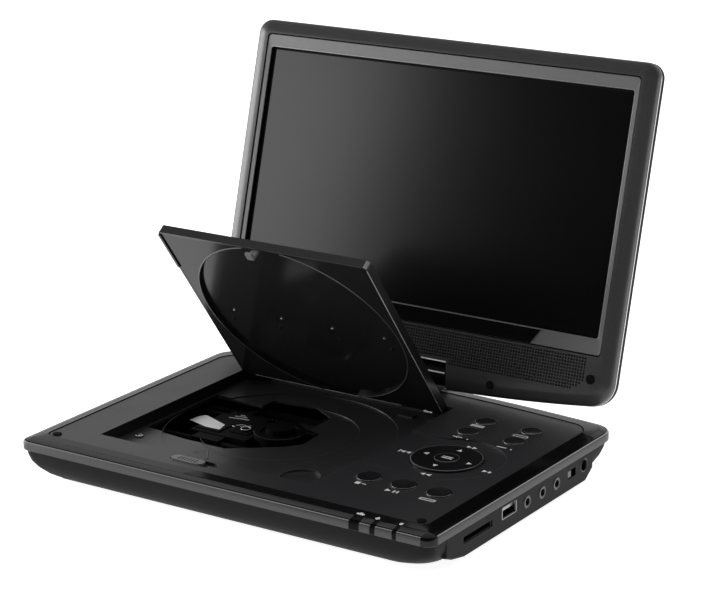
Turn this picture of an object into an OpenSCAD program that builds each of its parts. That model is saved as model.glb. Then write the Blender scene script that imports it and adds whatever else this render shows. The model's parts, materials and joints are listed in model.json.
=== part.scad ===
// Portable DVD player: a base with a disc bay, keys and ports, a sprung disc lid,
// and a wide screen on a hinge that tilts and swivels.
// X runs to the right, Y to the back, Z up. The origin is the middle of the base's
// footprint, on the surface that its feet stand on. Millimetres.

/* [Base] */
// Width of the base and of the screen
base_w = 246; // [240:1:252]
// Depth of the base at its middle
base_d = 184; // [180:1:188]
// Height of the rim line above the table
rim_z = 22; // [21:0.5:23]
// Height of the bright band below the rim line
band_h = 4.5; // [4:0.5:5]
// Rise of the top panel above the rim line
panel_rise = 1.6; // [1.2:0.1:2]
// Height of the rubber feet
foot_h = 2; // [1.5:0.5:2.5]

/* [Disc bay] */
// Left wall of the disc bay
bay_left = -90.5; // [-91:0.5:-90]
// Right wall of the disc bay
bay_right = 39.5; // [39:0.5:40]
// Front wall of the disc bay
bay_front = -66.3; // [-66.5:0.1:-66]
// Back wall of the disc bay
bay_back = 62.8; // [62.5:0.1:63]
// Height of the bay's floor
deck_z = 17.5; // [17.2:0.1:17.7]
// Left to right place of the spindle
spindle_x = -25.6; // [-26:0.1:-25]
// Front to back place of the spindle
spindle_y = -1.5; // [-2:0.1:-1]
// Radius of the recess for a full-size disc
disc_r = 60.5; // [60.5:0.1:61]
// Radius of the recess for a small disc
small_disc_r = 41; // [40.5:0.1:41.5]

/* [Lid] */
// Angle at which the lid stands open
lid_open = 53.5; // [45:0.5:60]
// Thickness of the lid
lid_t = 4.8; // [4.5:0.1:5]

/* [Screen] */
// Lean of the screen behind upright
screen_lean = 15.75; // [5:0.25:25]
// Height of the tilt axis above the table
tilt_z = 33.8; // [33.8:0.1:34.5]
// Front to back place of the tilt axis
tilt_y = 82.1; // [81.5:0.1:82.5]
// Width of the picture opening
picture_w = 224; // [220:1:226]
// Height of the picture opening
picture_h = 126.3; // [124:0.1:128]
// Thickness of the screen housing
screen_t = 18; // [17:0.5:18]

/* [Keys and ports] */
// Radius of the navigation ring
nav_r = 18.4; // [17:0.1:19]
// Radius of the three front keys
front_key_r = 6.4; // [6:0.1:6.6]
// Radius of the four back keys
back_key_r = 5.7; // [5.4:0.1:6]
// Radius of the three audio sockets' bores
jack_bore_r = 1.8; // [1.75:0.01:1.85]
// Radius of the power socket's bore
dc_bore_r = 2.9; // [2.75:0.05:3.1]

/* [Hidden] */
$fn = 96;

eps = 0.01;
panel_z = rim_z + panel_rise;
band_z = rim_z - band_h;
floor_z = foot_h;
shell_t = 2;
half_w = base_w / 2;
half_d = base_d / 2;
arc_rise = 6.4;
bow_reach = 40;
least_corner_r = 0.6;
meet_gap = 0.5;
front_corner_r = 6;
back_corner_r = 12;
panel_gap = 0.15;
panel_t = 2;
wall_inset = 1.2;
taper = 14;
taper_top_z = 9;

// An outline with a straight front, a back that bows out by arc_rise, and round corners.
// The back corners are circles that meet the bow tangentially.
module bowed_outline(w, y_front, y_back, front_r, back_r, inset = 0)
{
    arc_half = w / 2 - back_r;
    arc_r = (arc_half * arc_half / arc_rise + arc_rise) / 2 - inset;
    arc_centre_y = y_back - inset - arc_r;
    corner_r = max(back_r - inset, least_corner_r);
    corner_x = w / 2 - inset - corner_r;
    corner_y = arc_centre_y + sqrt(pow(arc_r - corner_r, 2) - pow(corner_x, 2));
    meet_x = corner_x * arc_r / (arc_r - corner_r) - meet_gap;
    rounded_rect(-w / 2 + inset, w / 2 - inset, y_front + inset, corner_y + corner_r,
        max(front_r - inset, least_corner_r), corner_r);
    intersection()
    {
        translate([0, arc_centre_y]) circle(r = arc_r, $fn = 720);
        translate([-meet_x, y_back - bow_reach]) square([2 * meet_x, bow_reach]);
    }
}

// A rectangle with one radius on its front corners and one on its back corners.
module rounded_rect(x0, x1, y0, y1, front_r, back_r)
{
    translate([x0, y0 + front_r]) square([x1 - x0, y1 - y0 - front_r - back_r]);
    translate([x0 + front_r, y0]) square([x1 - x0 - 2 * front_r, y1 - y0 - back_r]);
    translate([x0 + back_r, y0 + front_r]) square([x1 - x0 - 2 * back_r, y1 - y0 - front_r]);
    for (x = [x0 + front_r, x1 - front_r])
        translate([x, y0 + front_r]) circle(r = front_r);
    for (x = [x0 + back_r, x1 - back_r])
        translate([x, y1 - back_r]) circle(r = back_r);
}

module base_outline(inset = 0)
{
    bowed_outline(base_w, -half_d, half_d, front_corner_r, back_corner_r, inset);
}

// A prism from z0 to z1 of a flat shape.
module slab(z0, z1)
{
    translate([0, 0, z0]) linear_extrude(z1 - z0) children();
}

// A straight cylinder between two heights.
module post(x, y, z0, z1, r)
{
    translate([x, y, z0]) cylinder(r = r, h = z1 - z0);
}

// A box between two corners.
module block(a, b)
{
    translate(a) cube(b - a);
}

// A flat shape with two round ends, along X.
module capsule(length, r)
{
    translate([-length / 2 + r, -r]) square([length - 2 * r, 2 * r]);
    for (s = [-1, 1])
        translate([s * (length / 2 - r), 0]) circle(r = r);
}

/* ---- base casing ---- */

port_x = 121.5;
port_block = [-74, 60];
port_floor = 4.5;
jack_y = [-2.9, 11.7, 25.8];
jack_z = 10.7;
jack_nose_r = 3.3;
usb_y = -20;
usb_z = 12.3;
usb_size = [13.4, 6];
card_y = -48.6;
card_z = 10.9;
card_size = [26, 3.4];
switch_y = 41;
switch_z = 11.2;
switch_slot = [8, 4.2];
dc_y = 53.4;
dc_z = 11.6;
dc_nose_r = 3.6;

foot_x = 100;
foot_front = -67;
foot_back = 62;
foot_r = 6;
screw_x = [-86, 86];
screw_y = [-50, 48];

// The tub's outer form: a straight wall above a slanted edge and a flat underside.
module tub(inset, z_low, z_top)
{
    hull()
    {
        slab(z_low, z_low + eps) base_outline(taper + inset);
        slab(taper_top_z - eps, taper_top_z) base_outline(wall_inset + inset);
    }
    slab(taper_top_z - eps, z_top) base_outline(wall_inset + inset);
}

// The block on the right side that carries the ports, with slanted ends.
module port_body(inset)
{
    rise = 14;
    rotate([90, 0, 90]) slab(98, port_x - inset) polygon([
        [port_block[0] + rise + inset, port_floor + inset],
        [port_block[1] - 4 - inset, port_floor + inset],
        [port_block[1] + 4 - inset, taper_top_z + inset],
        [port_block[1] + 4 - inset, band_z + inset / 2],
        [port_block[0] - 4 + inset, band_z + inset / 2],
        [port_block[0] - 4 + inset, taper_top_z - 3 + inset]
    ]);
}

module bottom_shell()
{
    color("#1b1b1d") difference()
    {
        union()
        {
            difference()
            {
                union()
                {
                    tub(0, floor_z, band_z);
                    intersection()
                    {
                        port_body(0);
                        slab(0, band_z) base_outline(wall_inset);
                    }
                }
                tub(shell_t, floor_z + shell_t, band_z + eps);
                intersection()
                {
                    port_body(shell_t);
                    slab(0, band_z + 1) base_outline(wall_inset + shell_t);
                }
            }
            for (x = screw_x, y = screw_y)
                post(x, y, floor_z + shell_t - eps, 12, 3);
        }
        for (x = screw_x, y = screw_y)
        {
            post(x, y, floor_z - 1, 13, 1.3);
            post(x, y, floor_z - 1, floor_z + 1.5, 2.6);
        }
        port_cuts();
        // sound and cooling slots in the underside
        for (i = [0:7])
            block([-40 + i * 5, 40, floor_z - 1], [-38 + i * 5, 58, floor_z + shell_t + 1]);
    }
}

module along_x(x, y, z, h, r)
{
    translate([x, y, z]) rotate([0, 90, 0]) cylinder(r = r, h = h);
}

module port_cuts()
{
    reach = 8;
    for (y = jack_y)
        along_x(port_x - reach, y, jack_z, 2 * reach, jack_nose_r + 0.1);
    along_x(port_x - reach, dc_y, dc_z, 2 * reach, dc_nose_r + 0.1);
    block([port_x - reach, usb_y - usb_size[0] / 2, usb_z - usb_size[1] / 2],
        [port_x + reach, usb_y + usb_size[0] / 2, usb_z + usb_size[1] / 2]);
    block([port_x - reach, card_y - card_size[0] / 2, card_z - card_size[1] / 2],
        [port_x + reach, card_y + card_size[0] / 2, card_z + card_size[1] / 2]);
    block([port_x - reach, switch_y - switch_slot[0] / 2, switch_z - switch_slot[1] / 2],
        [port_x + reach, switch_y + switch_slot[0] / 2, switch_z + switch_slot[1] / 2]);
}

panel_side = 9.4;
panel_front = 10.7;
panel_back = 10.8;
panel_corner = [4, 11];
hinge_pad_half = 22;
hinge_pad_back = half_d - 1;

// The top panel's outline: inside the rim, with a tongue at the back under the hinge.
module panel_outline(gap = 0)
{
    bowed_outline(base_w - 2 * panel_side, -half_d + panel_front, half_d - panel_back,
        panel_corner[0], panel_corner[1], gap);
    translate([-hinge_pad_half + gap, half_d - 2 * panel_back])
        square([2 * (hinge_pad_half - gap), hinge_pad_back - half_d + 2 * panel_back - gap]);
}

// The lip's foot, how far it reaches down into the band, and the fold between its two slopes.
lip_foot = 0.2;
lip_sink = 0.1;
lip_fold = 5;
lip_fold_z = panel_z - 0.5;
lip_top = 9.2;
lip_top_z = panel_z - 0.1;

// The lip that joins the rim line to the top panel: a steep slope, then a nearly flat one.
module lip_form()
{
    difference()
    {
        union()
        {
            hull()
            {
                slab(rim_z - lip_sink, rim_z - lip_sink + eps) base_outline(lip_foot);
                slab(lip_fold_z - eps, lip_fold_z) base_outline(lip_fold);
            }
            hull()
            {
                slab(lip_fold_z - 2 * eps, lip_fold_z - eps) base_outline(lip_fold);
                slab(lip_top_z - eps, lip_top_z) base_outline(lip_top);
            }
        }
        slab(rim_z - 1, panel_z + 1) panel_outline();
    }
}

corner_w = 7;
gloss_start = [-22.5, -17.5];

// The part of the lip that is glossy black: its upper slope at the front right, then the
// corner and the right side in full, up to a slanted end near the back corner.
module gloss_zone()
{
    inner_x = half_w - panel_side - 3;
    inner_y = -half_d + panel_front + 3;
    fold_y = -half_d + lip_fold;
    polygon([
        [gloss_start[0], fold_y], [gloss_start[1], inner_y], [inner_x, inner_y],
        [inner_x, 63], [half_w - panel_side, 64.4], [half_w - 6, 66], [half_w - 2.5, 76],
        [half_w + 1, 79], [half_w + 1, -half_d - 1], [half_w - corner_w, -half_d - 1],
        [half_w - corner_w, fold_y]
    ]);
}

module black_corner()
{
    translate([half_w - corner_w, -half_d - 1]) square([corner_w + 1, 7.5]);
}

window_x = [[77.7, 83.5], [89.3, 92.2], [101.5, 103.9]];
window_depth = 4.5;
rim_wall = 3.2;
rim_top_t = 2;

module window_slots(gap)
{
    for (x = window_x)
        block([x[0] - gap, -half_d - 1, band_z - 1], [x[1] + gap, -half_d + window_depth + gap, panel_z + 1]);
}

module rim_frame()
{
    color("#8d8f92") difference()
    {
        union()
        {
            slab(band_z, rim_z) base_outline(0);
            lip_form();
        }
        slab(rim_z - rim_top_t, panel_z + 1) panel_outline();
        slab(band_z - 1, rim_z - rim_top_t + eps) base_outline(rim_wall);
        slab(rim_z, panel_z + 1) gloss_zone();
        slab(band_z - 1, panel_z + 1) black_corner();
        window_slots(0);
    }
}

module gloss_trim()
{
    color("#0b0b0d") difference()
    {
        union()
        {
            intersection()
            {
                lip_form();
                slab(rim_z, panel_z + 1) gloss_zone();
            }
            intersection()
            {
                slab(band_z, rim_z) difference()
                {
                    base_outline(0);
                    base_outline(rim_wall);
                }
                slab(band_z - 1, rim_z + 1) black_corner();
            }
        }
        window_slots(0);
    }
}

module status_windows()
{
    color("#050506") intersection()
    {
        for (x = window_x)
            block([x[0], -half_d - 1, band_z], [x[1], -half_d + window_depth, panel_z]);
        union()
        {
            slab(band_z, rim_z - rim_top_t) difference()
            {
                base_outline(0.2);
                base_outline(rim_wall);
            }
            slab(rim_z - rim_top_t - eps, rim_z + eps) base_outline(0.2);
            hull()
            {
                slab(rim_z, rim_z + eps) base_outline(0.7);
                slab(lip_fold_z - 0.1 - eps, lip_fold_z - 0.1) base_outline(lip_fold);
            }
        }
    }
}

module rubber_feet()
{
    color("#232325") for (x = [-foot_x, foot_x], y = [foot_front, foot_back])
        post(x, y, 0, foot_h, foot_r);
}

bumper_x = 109;
bumper_y = -78;

module panel_bumpers()
{
    color("#141415") for (s = [-1, 1])
        post(s * bumper_x, bumper_y, panel_z - 1, panel_z + 0.5, 2.3);
}

module base_screws()
{
    color("silver") for (x = screw_x, y = screw_y)
    {
        post(x, y, floor_z + 1.5, floor_z + 8, 1.28);
        post(x, y, floor_z + 0.3, floor_z + 1.5, 2.5);
    }
}

/* ---- top panel and keys ---- */

nav = [75.5, -2.2];
nav_recess_r = 29;
nav_recess = 0.8;
nav_channel = [-28.8, 22.8];
enter_r = 6.6;
back_keys = [[64.7, 52.9], [64.7, 35.8], [91.6, 52.9], [91.6, 35.8]];
front_keys = [[57.6, -43.9], [77.3, -43.9], [97.1, -43.9]];
key_gap = 0.25;
key_rise = 0.5;
key_flange = 0.9;
key_flange_t = 0.6;
key_color = "#1c1c20";
key_foot_z = panel_z - panel_t - 0.7;
key_board_z = 18.8;
latch_x = -26.6;
latch_y = -72.3;
latch_r = 3.5;
latch_pocket = 27.6;
pin_r = 1;
pin_y = 58.5;
pin_z = 20.5;
lid_left = -90;
lid_right = 38;
lid_front = -64.2;
bay_wall = 1.6;
swivel_r = 5;
bracket_half = 30;
hook_x = -29;

module bay_outline(grow = 0)
{
    translate([bay_left - grow, bay_front - grow])
        square([bay_right - bay_left + 2 * grow, bay_back - bay_front + 2 * grow]);
}

module top_panel()
{
    color("#17171a") difference()
    {
        union()
        {
            slab(panel_z - panel_t, panel_z) panel_outline(panel_gap);
            slab(deck_z - 2, panel_z - panel_t + eps) bay_outline(bay_wall);
            // bosses for the lid's pins
            block([bay_left - 5, pin_y - 4, deck_z - 2], [bay_left, pin_y + 4, panel_z - 1]);
            block([bay_right, pin_y - 4, deck_z - 2], [bay_right + 5, pin_y + 4, panel_z - 1]);
        }
        slab(deck_z - 3, panel_z + 1) bay_outline();
        slab(panel_z - nav_recess, panel_z + 1) translate(nav) circle(r = nav_recess_r);
        block([bay_right - 1, nav_channel[0], panel_z - nav_recess],
            [nav[0], nav_channel[1], panel_z + 1]);
        post(nav[0], nav[1], rim_z - 2, panel_z + 1, nav_r + key_gap);
        for (p = back_keys)
            post(p[0], p[1], rim_z - 2, panel_z + 1, back_key_r + key_gap);
        for (p = front_keys)
            post(p[0], p[1], rim_z - 2, panel_z + 1, front_key_r + key_gap);
        translate([latch_x, latch_y, panel_z - 1.2]) linear_extrude(3) capsule(latch_pocket, latch_r);
        block([latch_x - 9, latch_y - 1.4, panel_z - 3], [latch_x + 6, latch_y + 1.4, panel_z]);
        // a window in the front wall of the bay for the latch's tongue
        block([hook_x - 5, bay_front - bay_wall - 1, deck_z - 3], [hook_x + 10, bay_front + 1, deck_z]);
        for (s = [-1, 1])
            post(s * bumper_x, bumper_y, panel_z - 1, panel_z + 1, 2.4);
        post(0, tilt_y, rim_z - 4, panel_z + 1, swivel_r + 0.3);
        along_x(bay_left - 4, pin_y, pin_z, bay_right - bay_left + 8, pin_r + 0.04);
    }
}

// A round key: a cap that stands through the panel on a flange that holds it in.
module key(x, y, r, top, color_name)
{
    color(color_name)
    {
        post(x, y, key_foot_z, top, r);
        post(x, y, key_foot_z, key_foot_z + key_flange_t, r + key_flange);
    }
}

module menu_key() { key(back_keys[0][0], back_keys[0][1], back_key_r, panel_z + key_rise, key_color); }
module mode_key() { key(back_keys[2][0], back_keys[2][1], back_key_r, panel_z + key_rise, key_color); }
module volume_up_key() { key(back_keys[1][0], back_keys[1][1], back_key_r, panel_z + key_rise, key_color); }
module volume_down_key() { key(back_keys[3][0], back_keys[3][1], back_key_r, panel_z + key_rise, key_color); }
module stop_key() { key(front_keys[0][0], front_keys[0][1], front_key_r, panel_z + key_rise, key_color); }
module play_key() { key(front_keys[1][0], front_keys[1][1], front_key_r, panel_z + key_rise, key_color); }
module source_key() { key(front_keys[2][0], front_keys[2][1], front_key_r, panel_z + key_rise, key_color); }

nav_top = panel_z + 0.3;

module nav_ring()
{
    color("#0e0e10") difference()
    {
        key(nav[0], nav[1], nav_r, nav_top, "#0e0e10");
        post(nav[0], nav[1], panel_z - panel_t - 3, panel_z + 3, enter_r + 0.3);
    }
}

module enter_key()
{
    color("#1c1c20") post(nav[0], nav[1], key_foot_z, nav_top + 0.1, enter_r);
}

// The board under the keys, with one dome switch below each key and four below the ring.
module key_board()
{
    dome_z = key_board_z + 1.2;
    domes = concat(back_keys, front_keys, [nav],
        [for (a = [0:90:270]) nav + 12.5 * [cos(a), sin(a)]]);
    color("#1f5a34") difference()
    {
        block([46, -54, key_board_z], [110, 62, dome_z]);
        for (x = [48.5, 107.5], y = [-51, 59])
            post(x, y, key_board_z - 1, dome_z + 1, 1.2);
    }
    color("silver") for (p = domes)
        post(p[0], p[1], dome_z, dome_z + 0.2, 2);
}

module lid_latch()
{
    thumb = 19.5;
    thumb_x = latch_x - latch_pocket / 2 + thumb / 2 + 0.5;
    color("#2a2a2d")
    {
        difference()
        {
            translate([thumb_x, latch_y, panel_z - 1.1]) linear_extrude(1.6) capsule(thumb, latch_r - 0.3);
            for (i = [0:5])
                block([thumb_x - 5.5 + i * 2, latch_y - 2, panel_z + 0.2],
                    [thumb_x - 4.7 + i * 2, latch_y + 2, panel_z + 1]);
        }
        block([latch_x - 8.6, latch_y - 1.2, deck_z - 0.4], [latch_x - 2, latch_y + 1.2, panel_z - 1]);
        // the tongue that catches the lid's hook
        block([hook_x - 3, latch_y - 1.2, deck_z - 2], [hook_x + 3, bay_front - 0.1, deck_z - 0.4]);
    }
}

/* ---- disc drive ---- */

drive_z = 6.4;
rod_y = [17, -20];
rod_z = 11.5;
rod_r = 1.5;
rod_x = [-109, -12];
sled_x = [-73, -38];
sled_z = [9, 14.4];
lens_x = -47.3;
window_points = [
    [-88, -31.5], [-60, -34.6], [-36.6, -33.9], [-12.8, -15.7], [-6.9, -7.6], [-8.3, 9.6],
    [-16.1, 12.7], [-17.6, 32.8], [-32.3, 41.8], [-57.8, 38.5], [-57.6, 27.5], [-88, 28.5]
];
deck_screw = [-82.8, -45];
deck_t = 2;
platter_r = 13.5;
platter_top = 18;
hub_r = 7.3;
jaw_angles = [30, 150, 270];
journal_r = 1;
end_wall = 2.5;
feed_y = 23.5;
feed_r = 1.6;
feed_pitch = 3;
feed_x = [-106, -31];
damper_at = [[-90, -24], [-90, 27], [-9, -24], [-9, 27]];

module disc_deck()
{
    color("#131315") difference()
    {
        slab(deck_z - deck_t, deck_z) bay_outline(-0.1);
        intersection()
        {
            post(spindle_x, spindle_y, deck_z - 0.6, deck_z + 1, disc_r);
            slab(deck_z - 1, deck_z + 1) bay_outline(-0.1);
        }
        post(spindle_x, spindle_y, deck_z - 1.1, deck_z, small_disc_r);
        slab(deck_z - deck_t - 1, deck_z + 1) polygon(window_points);
        post(19.5, -47.5, deck_z - 1.4, deck_z + 1, 10);
        post(deck_screw[0], deck_screw[1], deck_z - deck_t - 1, deck_z + 1, 1.2);
        block([hook_x - 5, bay_front - 1, deck_z - deck_t - 1], [hook_x + 5, hook_root_y + hook_t + 0.5, deck_z + 1]);
    }
    // a raised stop for the lid
    color("#2b2b2e") block([12, 51.5, deck_z - eps], [21, 56, deck_z + 0.8]);
}

module deck_screws()
{
    color("silver")
    {
        post(deck_screw[0], deck_screw[1], deck_z - 5, deck_z, 1.15);
        difference()
        {
            post(deck_screw[0], deck_screw[1], deck_z, deck_z + 0.8, 2.2);
            block([deck_screw[0] - 1.5, deck_screw[1] - 0.25, deck_z + 0.4],
                [deck_screw[0] + 1.5, deck_screw[1] + 0.25, deck_z + 1]);
        }
    }
}

// The drive's frame: a plate, two side walls and two end walls that hold the rods.
module drive_chassis()
{
    color("#101011") difference()
    {
        union()
        {
            block([-98, -30, drive_z - 0.4], [rod_x[1] + 8, 33, drive_z + 1.4]);
            for (y = [[-30, -27], [30, 33]])
            {
                block([-98, y[0], drive_z], [rod_x[1] + 8, y[1], 13.5]);
                block([rod_x[0], y[0], 9.6], [-98 + eps, y[1], 13.5]);
            }
            block([rod_x[0], -30, 9.6], [rod_x[0] + end_wall, 33, 13.5]);
            for (y = rod_y)
                block([rod_x[1] - 2, y - 2.6, drive_z], [rod_x[1], y + 2.6, 14]);
        }
        for (y = rod_y)
            along_x(rod_x[0] - 1, y, rod_z, rod_x[1] - rod_x[0] + 2, rod_r);
        along_x(rod_x[0] - 1, feed_y, rod_z, 5, journal_r + 0.04);
        post(spindle_x, spindle_y, drive_z - 1, drive_z + 3, 4);
        block([-94, -14, drive_z - 1], [-42, 12, drive_z + 2]);
        for (p = damper_at)
            post(p[0], p[1], drive_z - 1, drive_z + 3, 1.6);
    }
}

module rubber_dampers()
{
    color("#303034") for (p = damper_at)
    {
        post(p[0], p[1], floor_z + shell_t, drive_z - 0.4, 3);
        post(p[0], p[1], drive_z - 0.4, drive_z + 1.4, 1.6);
        post(p[0], p[1], drive_z + 1.4, drive_z + 2.4, 2.6);
    }
}

module guide_rods()
{
    color("silver") for (y = rod_y)
        along_x(rod_x[0], y, rod_z, rod_x[1] - rod_x[0], rod_r);
}

motor_r = 10.5;

module spindle_motor()
{
    color("#9a9ca0") difference()
    {
        post(spindle_x, spindle_y, drive_z + 1.4, 13.8, motor_r);
        post(spindle_x, spindle_y, drive_z + 3, 15, journal_r + 0.04);
    }
}

// The platter that carries the disc, with its hub and the motor's shaft.
module turntable()
{
    color("#141416")
    {
        post(spindle_x, spindle_y, drive_z + 3.2, 15.2, journal_r);
        post(spindle_x, spindle_y, 15.2, 17.4, platter_r);
        difference()
        {
            post(spindle_x, spindle_y, 17.4 - eps, platter_top, platter_r);
            post(spindle_x, spindle_y, 17.4, platter_top + 1, platter_r - 3.5);
        }
        difference()
        {
            post(spindle_x, spindle_y, 17.4 - eps, platter_top + 2.2, hub_r);
            for (a = jaw_angles)
                translate([spindle_x, spindle_y, 18.6]) rotate(a)
                    translate([hub_r - 3, -1.3, 0]) cube([4, 2.6, 1]);
        }
    }
}

// Three jaws in the hub that grip the disc's edge.
module disc_jaws()
{
    color("#c9cbd0") for (a = jaw_angles)
        translate([spindle_x, spindle_y, 18.65]) rotate(a)
            translate([hub_r - 2.9, -1.2, 0]) cube([3.3, 2.4, 0.9]);
}

// The sled: it runs on both rods and is pushed by the feed screw.
module pickup_sled()
{
    color("#26262a") difference()
    {
        union()
        {
            block([sled_x[0], -15, sled_z[0]], [sled_x[1], 13, sled_z[1]]);
            block([sled_x[0] + 2, 12, sled_z[0]], [sled_x[1] - 8, 19.6, sled_z[1] - 0.4]);
            block([sled_x[0] + 10, 19, sled_z[0]], [sled_x[0] + 14, feed_y + 3, sled_z[1] - 0.4]);
            block([sled_x[0] + 6, -22.6, sled_z[0]], [sled_x[1] - 12, -14, sled_z[1] - 0.4]);
        }
        for (y = rod_y)
            along_x(sled_x[0] - 1, y, rod_z, sled_x[1] - sled_x[0] + 2, rod_r + 0.04);
        along_x(sled_x[0] - 1, feed_y, rod_z, sled_x[1] - sled_x[0] + 2, feed_r + 0.3);
        block([lens_x - 6, spindle_y - 7, sled_z[1] - 2.6], [lens_x + 6, spindle_y + 7, sled_z[1] + 1]);
    }
    // the bright cover over the sled's laser
    color("#d5d7da") block([sled_x[0] + 1, -12, sled_z[1]], [sled_x[0] + 16, 2, sled_z[1] + 0.5]);
}

module pickup_lens()
{
    color("#49557a")
    {
        block([lens_x - 5.4, spindle_y - 6.4, sled_z[1] - 2.2], [lens_x + 5.4, spindle_y + 6.4, sled_z[1] + 0.2]);
        post(lens_x, spindle_y, sled_z[1] + 0.2, sled_z[1] + 0.8, 2.6);
    }
}

module feed_motor()
{
    color("#9a9ca0") difference()
    {
        along_x(feed_x[1] + 1.5, feed_y, rod_z, 15, 3.5);
        along_x(feed_x[1] + 1, feed_y, rod_z, 4, journal_r + 0.04);
    }
}

// The feed screw. Its grooves are rings, so that it looks the same at any turn.
module feed_screw()
{
    turns = floor((feed_x[1] - feed_x[0]) / feed_pitch) - 1;
    color("#c2a14d")
    {
        along_x(feed_x[0] - 2, feed_y, rod_z, feed_x[1] - feed_x[0] + 5, journal_r);
        translate([feed_x[0], feed_y, rod_z]) rotate([0, 90, 0]) rotate_extrude() polygon(concat(
            [[0.5, 0], [feed_r, 0]],
            [for (i = [1:turns], p = [[feed_r, -0.9], [feed_r - 0.5, -0.3], [feed_r - 0.5, 0.3], [feed_r, 0.9]])
                [p[0], i * feed_pitch + p[1]]],
            [[feed_r, feed_x[1] - feed_x[0]], [0.5, feed_x[1] - feed_x[0]]]
        ));
    }
}

/* ---- boards, battery and sockets ---- */

board_z = [6.6, 8.2];
board_x = [45, 118];
board_y = [-56, 50];

module main_board()
{
    color("#1f5a34") difference()
    {
        block([board_x[0], board_y[0], board_z[0]], [board_x[1], board_y[1], board_z[1]]);
        for (y = screw_y)
            post(screw_x[1], y, board_z[0] - 1, board_z[1] + 1, 3.4);
    }
    color("#151517")
    {
        block([60, -30, board_z[1]], [80, -10, board_z[1] + 1.4]);
        block([62, 4, board_z[1]], [74, 22, board_z[1] + 1.2]);
        block([52, 30, board_z[1]], [64, 38, board_z[1] + 2]);
    }
    color("silver")
    {
        block([104, switch_y - 6, board_z[1]], [113, switch_y + 6, 14]);
        for (y = [-44, -34])
            post(54, y, board_z[1], board_z[1] + 7, 4);
    }
}

module battery_pack()
{
    color("#3d5fa8") for (x = [-78, -40])
        block([x, -65.5, floor_z + shell_t], [x + 36, -34, 11]);
    color("#d8c27a") block([-42, -64, 5], [-40, -36, 10]);
}

module audio_jacks()
{
    color("#0d0d0e") for (y = jack_y)
        difference()
        {
            union()
            {
                block([106, y - 5, board_z[1]], [119, y + 5, board_z[1] + 5]);
                along_x(119 - eps, y, jack_z, port_x - 119, jack_nose_r);
            }
            along_x(107.5, y, jack_z, 20, jack_bore_r);
        }
}

module usb_socket()
{
    outer = [13.1, 5.7];
    inner = [12.5, 5.1];
    color("#c8cacd") difference()
    {
        block([105, usb_y - outer[0] / 2, usb_z - outer[1] / 2],
            [port_x - 0.4, usb_y + outer[0] / 2, usb_z + outer[1] / 2]);
        block([107, usb_y - inner[0] / 2, usb_z - inner[1] / 2],
            [port_x + 1, usb_y + inner[0] / 2, usb_z + inner[1] / 2]);
    }
    color("#0d0d0e")
    {
        block([107 - eps, usb_y - 5.6, usb_z + 0.3], [port_x - 1.5, usb_y + 5.6, usb_z + 2.1]);
        block([105, usb_y - 6, board_z[1]], [118, usb_y + 6, usb_z - outer[1] / 2]);
    }
}

module card_socket()
{
    slot = [24.4, 2.6];
    color("#0d0d0e") difference()
    {
        block([98, card_y - 12.8, board_z[1] + 1], [port_x - 0.5, card_y + 12.8, card_z + card_size[1] / 2 - 0.1]);
        block([99.5, card_y - slot[0] / 2, card_z - slot[1] / 2], [port_x + 1, card_y + slot[0] / 2, card_z + slot[1] / 2]);
    }
    color("#c8cacd") block([99, card_y - 12, board_z[1]], [117, card_y + 12, board_z[1] + 1]);
}

module dc_socket()
{
    color("#0d0d0e") difference()
    {
        union()
        {
            block([108, dc_y - 4, board_z[1]], [119, dc_y + 1, board_z[1] + 2]);
            along_x(108, dc_y, dc_z, port_x - 108, dc_nose_r);
        }
        along_x(110, dc_y, dc_z, 20, dc_bore_r);
    }
    color("silver") along_x(110 - eps, dc_y, dc_z, 9, 1);
}

module power_switch()
{
    color("#1d1d20")
    {
        block([113.4, switch_y - 3.5, switch_z - 1.7], [port_x - 0.3, switch_y - 0.3, switch_z + 1.7]);
        block([113.1, switch_y - 3.7, switch_z - 2.4], [114.4, switch_y - 0.1, switch_z + 2.4]);
    }
}

/* ---- disc lid, drawn shut and then turned open about its pins ---- */

lid_top_z = panel_z - 0.1;
lid_low_z = lid_top_z - lid_t;
lid_skin_t = 1.6;
lid_back = 60.5;
pocket_floor = 20.9;
spring_x = [24.4, 30.6];
lid_skirt = 1.4;
ear_x = [[lid_left + lid_skirt, -83], [31, lid_right - lid_skirt]];
lid_pocket_r = 59.6;
lid_pocket_shift = 2.3;
ear_r = 2.4;
ear_start_y = 54;
hook_z = [13.4, 20.2];
hook_root_y = lid_front + lid_skirt;
hook_t = 1.5;
hook_nose_y = bay_front + 0.5;

module lid_place()
{
    translate([0, pin_y, pin_z]) rotate([-lid_open, 0, 0]) translate([0, -pin_y, -pin_z]) children();
}

// The lid's outer skin with its rim on three sides.
module lid_cover()
{
    color("#101012") lid_place() difference()
    {
        union()
        {
            slab(lid_top_z - lid_skin_t, lid_top_z) rounded_rect(lid_left, lid_right, lid_front, lid_back, 2, 1);
            slab(lid_low_z, lid_top_z) difference()
            {
                rounded_rect(lid_left, lid_right, lid_front, ear_start_y, 2, 0.6);
                translate([lid_left + lid_skirt, lid_front + lid_skirt])
                    square([lid_right - lid_left - 2 * lid_skirt, base_d]);
            }
            // the deeper part of the rim at the front left
            block([lid_left, lid_front + 2, lid_low_z - 0.7], [lid_left + lid_skirt, lid_front + 28, lid_low_z + 1]);
        }
        block([spring_x[0] - 0.4, pin_y - 3, pin_z], [spring_x[1] + 0.4, pin_y + 4, pin_z + 1.95]);
    }
}

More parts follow.
